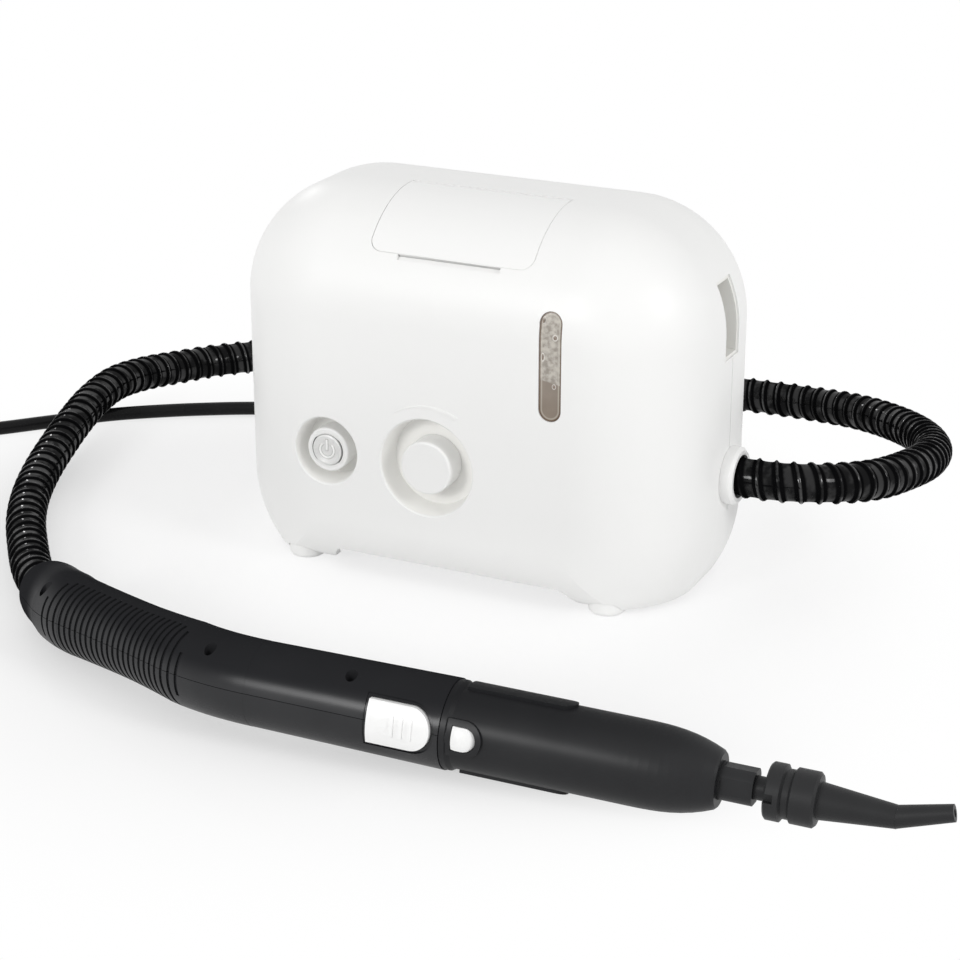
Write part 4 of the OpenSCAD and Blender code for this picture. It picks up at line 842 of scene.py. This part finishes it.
# Cord tie: a short band of woven black webbing with its loop and hook faces pressed together.
# It goes once round the turns of the coil and lies flat under them.
tie_weave, shader, place = paint("tie_weave", Specular_IOR_Level=0.2)
turned = place.node("ShaderNodeMapping", Vector=place, Rotation=(0.0, 0.0, math.radians(-45.0)))
warp, weft = turned.part("X") * 5200.0, turned.part("Y") * 5200.0
weave = 0.5 + warp.maths("SINE", warp) * weft.maths("SINE", weft) * 0.5
fluff = place.noise(1200.0, 3.0)
cloth = weave * 0.7 + fluff * 0.3
cloth.mix((0.008, 0.008, 0.009, 1.0), (0.035, 0.035, 0.037, 1.0)).feed(shader.inputs["Base Color"])
(0.7 + fluff * 0.2).feed(shader.inputs["Roughness"])
bump(weave, 0.5, 0.0003, shader)
dress(tie_weave, "cord_tie")

# Handle: two charcoal black halves that meet along the middle, held by three sunk screws, grooved under the fingers.
# The plastic has a fine spark-eroded grain, a little shinier along the sides where the palm rubs it.
handle_black, shader, place = paint("handle_charcoal", Specular_IOR_Level=0.0, Coat_Roughness=0.27)
grain = place.noise(1900.0, 3.0)
palm = place.noise(26.0, 3.0)
palm.mix((0.0165, 0.0168, 0.0183, 1.0), (0.0225, 0.0229, 0.0247, 1.0)).feed(shader.inputs["Base Color"])
(0.3 + grain * 0.1 + palm * 0.06).feed(shader.inputs["Roughness"])
along_sides = (1.0 - place.part("Z").ease(0.027, 0.036)) * place.part("X").ease(-0.145, -0.12)
(along_sides * (0.4 + palm * 0.4)).feed(shader.inputs["Coat Weight"])
bump(grain, 0.12, 0.0002, shader)
dress(handle_black, "handle_upper_half", "handle_lower_half")

# Barrel, stub and nozzle: the same black in a duller grain, because these pieces are glass-filled against the heat.
# The barrel locks onto the handle's neck, and the nozzle turns on the stub.
barrel_black, shader, place = paint("barrel_black", Specular_IOR_Level=0.03, Coat_Roughness=0.36)
grain = place.noise(1700.0, 3.0)
flow = place.noise(32.0, 3.0)
flow.mix((0.0125, 0.0128, 0.014, 1.0), (0.0175, 0.0179, 0.0192, 1.0)).feed(shader.inputs["Base Color"])
(0.4 + grain * 0.12 + flow * 0.06).feed(shader.inputs["Roughness"])
along_sides = 1.0 - place.part("Z").ease(0.028, 0.038)
(along_sides * (0.26 + flow * 0.22)).feed(shader.inputs["Coat Weight"])
bump(grain, 0.22, 0.0002, shader)
dress(barrel_black, "barrel", "outlet_stub")

nozzle_grey, shader, place = paint("nozzle_grey", Specular_IOR_Level=0.2)
grain = place.noise(1700.0, 3.0)
heat = place.noise(60.0, 3.0)
heat.mix((0.015, 0.0153, 0.0162, 1.0), (0.023, 0.0234, 0.0245, 1.0)).feed(shader.inputs["Base Color"])
(0.38 + grain * 0.14).feed(shader.inputs["Roughness"])
bump(grain, 0.22, 0.0002, shader)
dress(nozzle_grey, "nozzle")

# Trigger and release button: white pads that spring back, polished by fingers along their middles.
# Each is moulded in one piece and pressed into its opening in the black handset.
pad_white, shader, place = paint("pad_white")
grain = place.noise(1700.0)
touch = place.noise(140.0, 3.0)
touch.mix((0.82, 0.82, 0.815, 1.0), (0.86, 0.86, 0.855, 1.0)).feed(shader.inputs["Base Color"])
(0.22 + grain * 0.1 + touch * 0.06).feed(shader.inputs["Roughness"])
bump(grain, 0.04, 0.0002, shader)
dress(pad_white, "trigger_button", "release_button")

# Nozzle seal: a ring of red silicone in the nozzle's collar, dusty with talc from its packing.
# It sits on the stub's end and keeps the steam in.
seal_red, shader, place = paint("seal_red")
talc = place.noise(500.0, 4.0)
talc.mix((0.30, 0.03, 0.022, 1.0), (0.42, 0.08, 0.065, 1.0)).feed(shader.inputs["Base Color"])
(0.45 + talc * 0.2).feed(shader.inputs["Roughness"])
bump(talc, 0.15, 0.0002, shader)
dress(seal_red, "nozzle_seal")
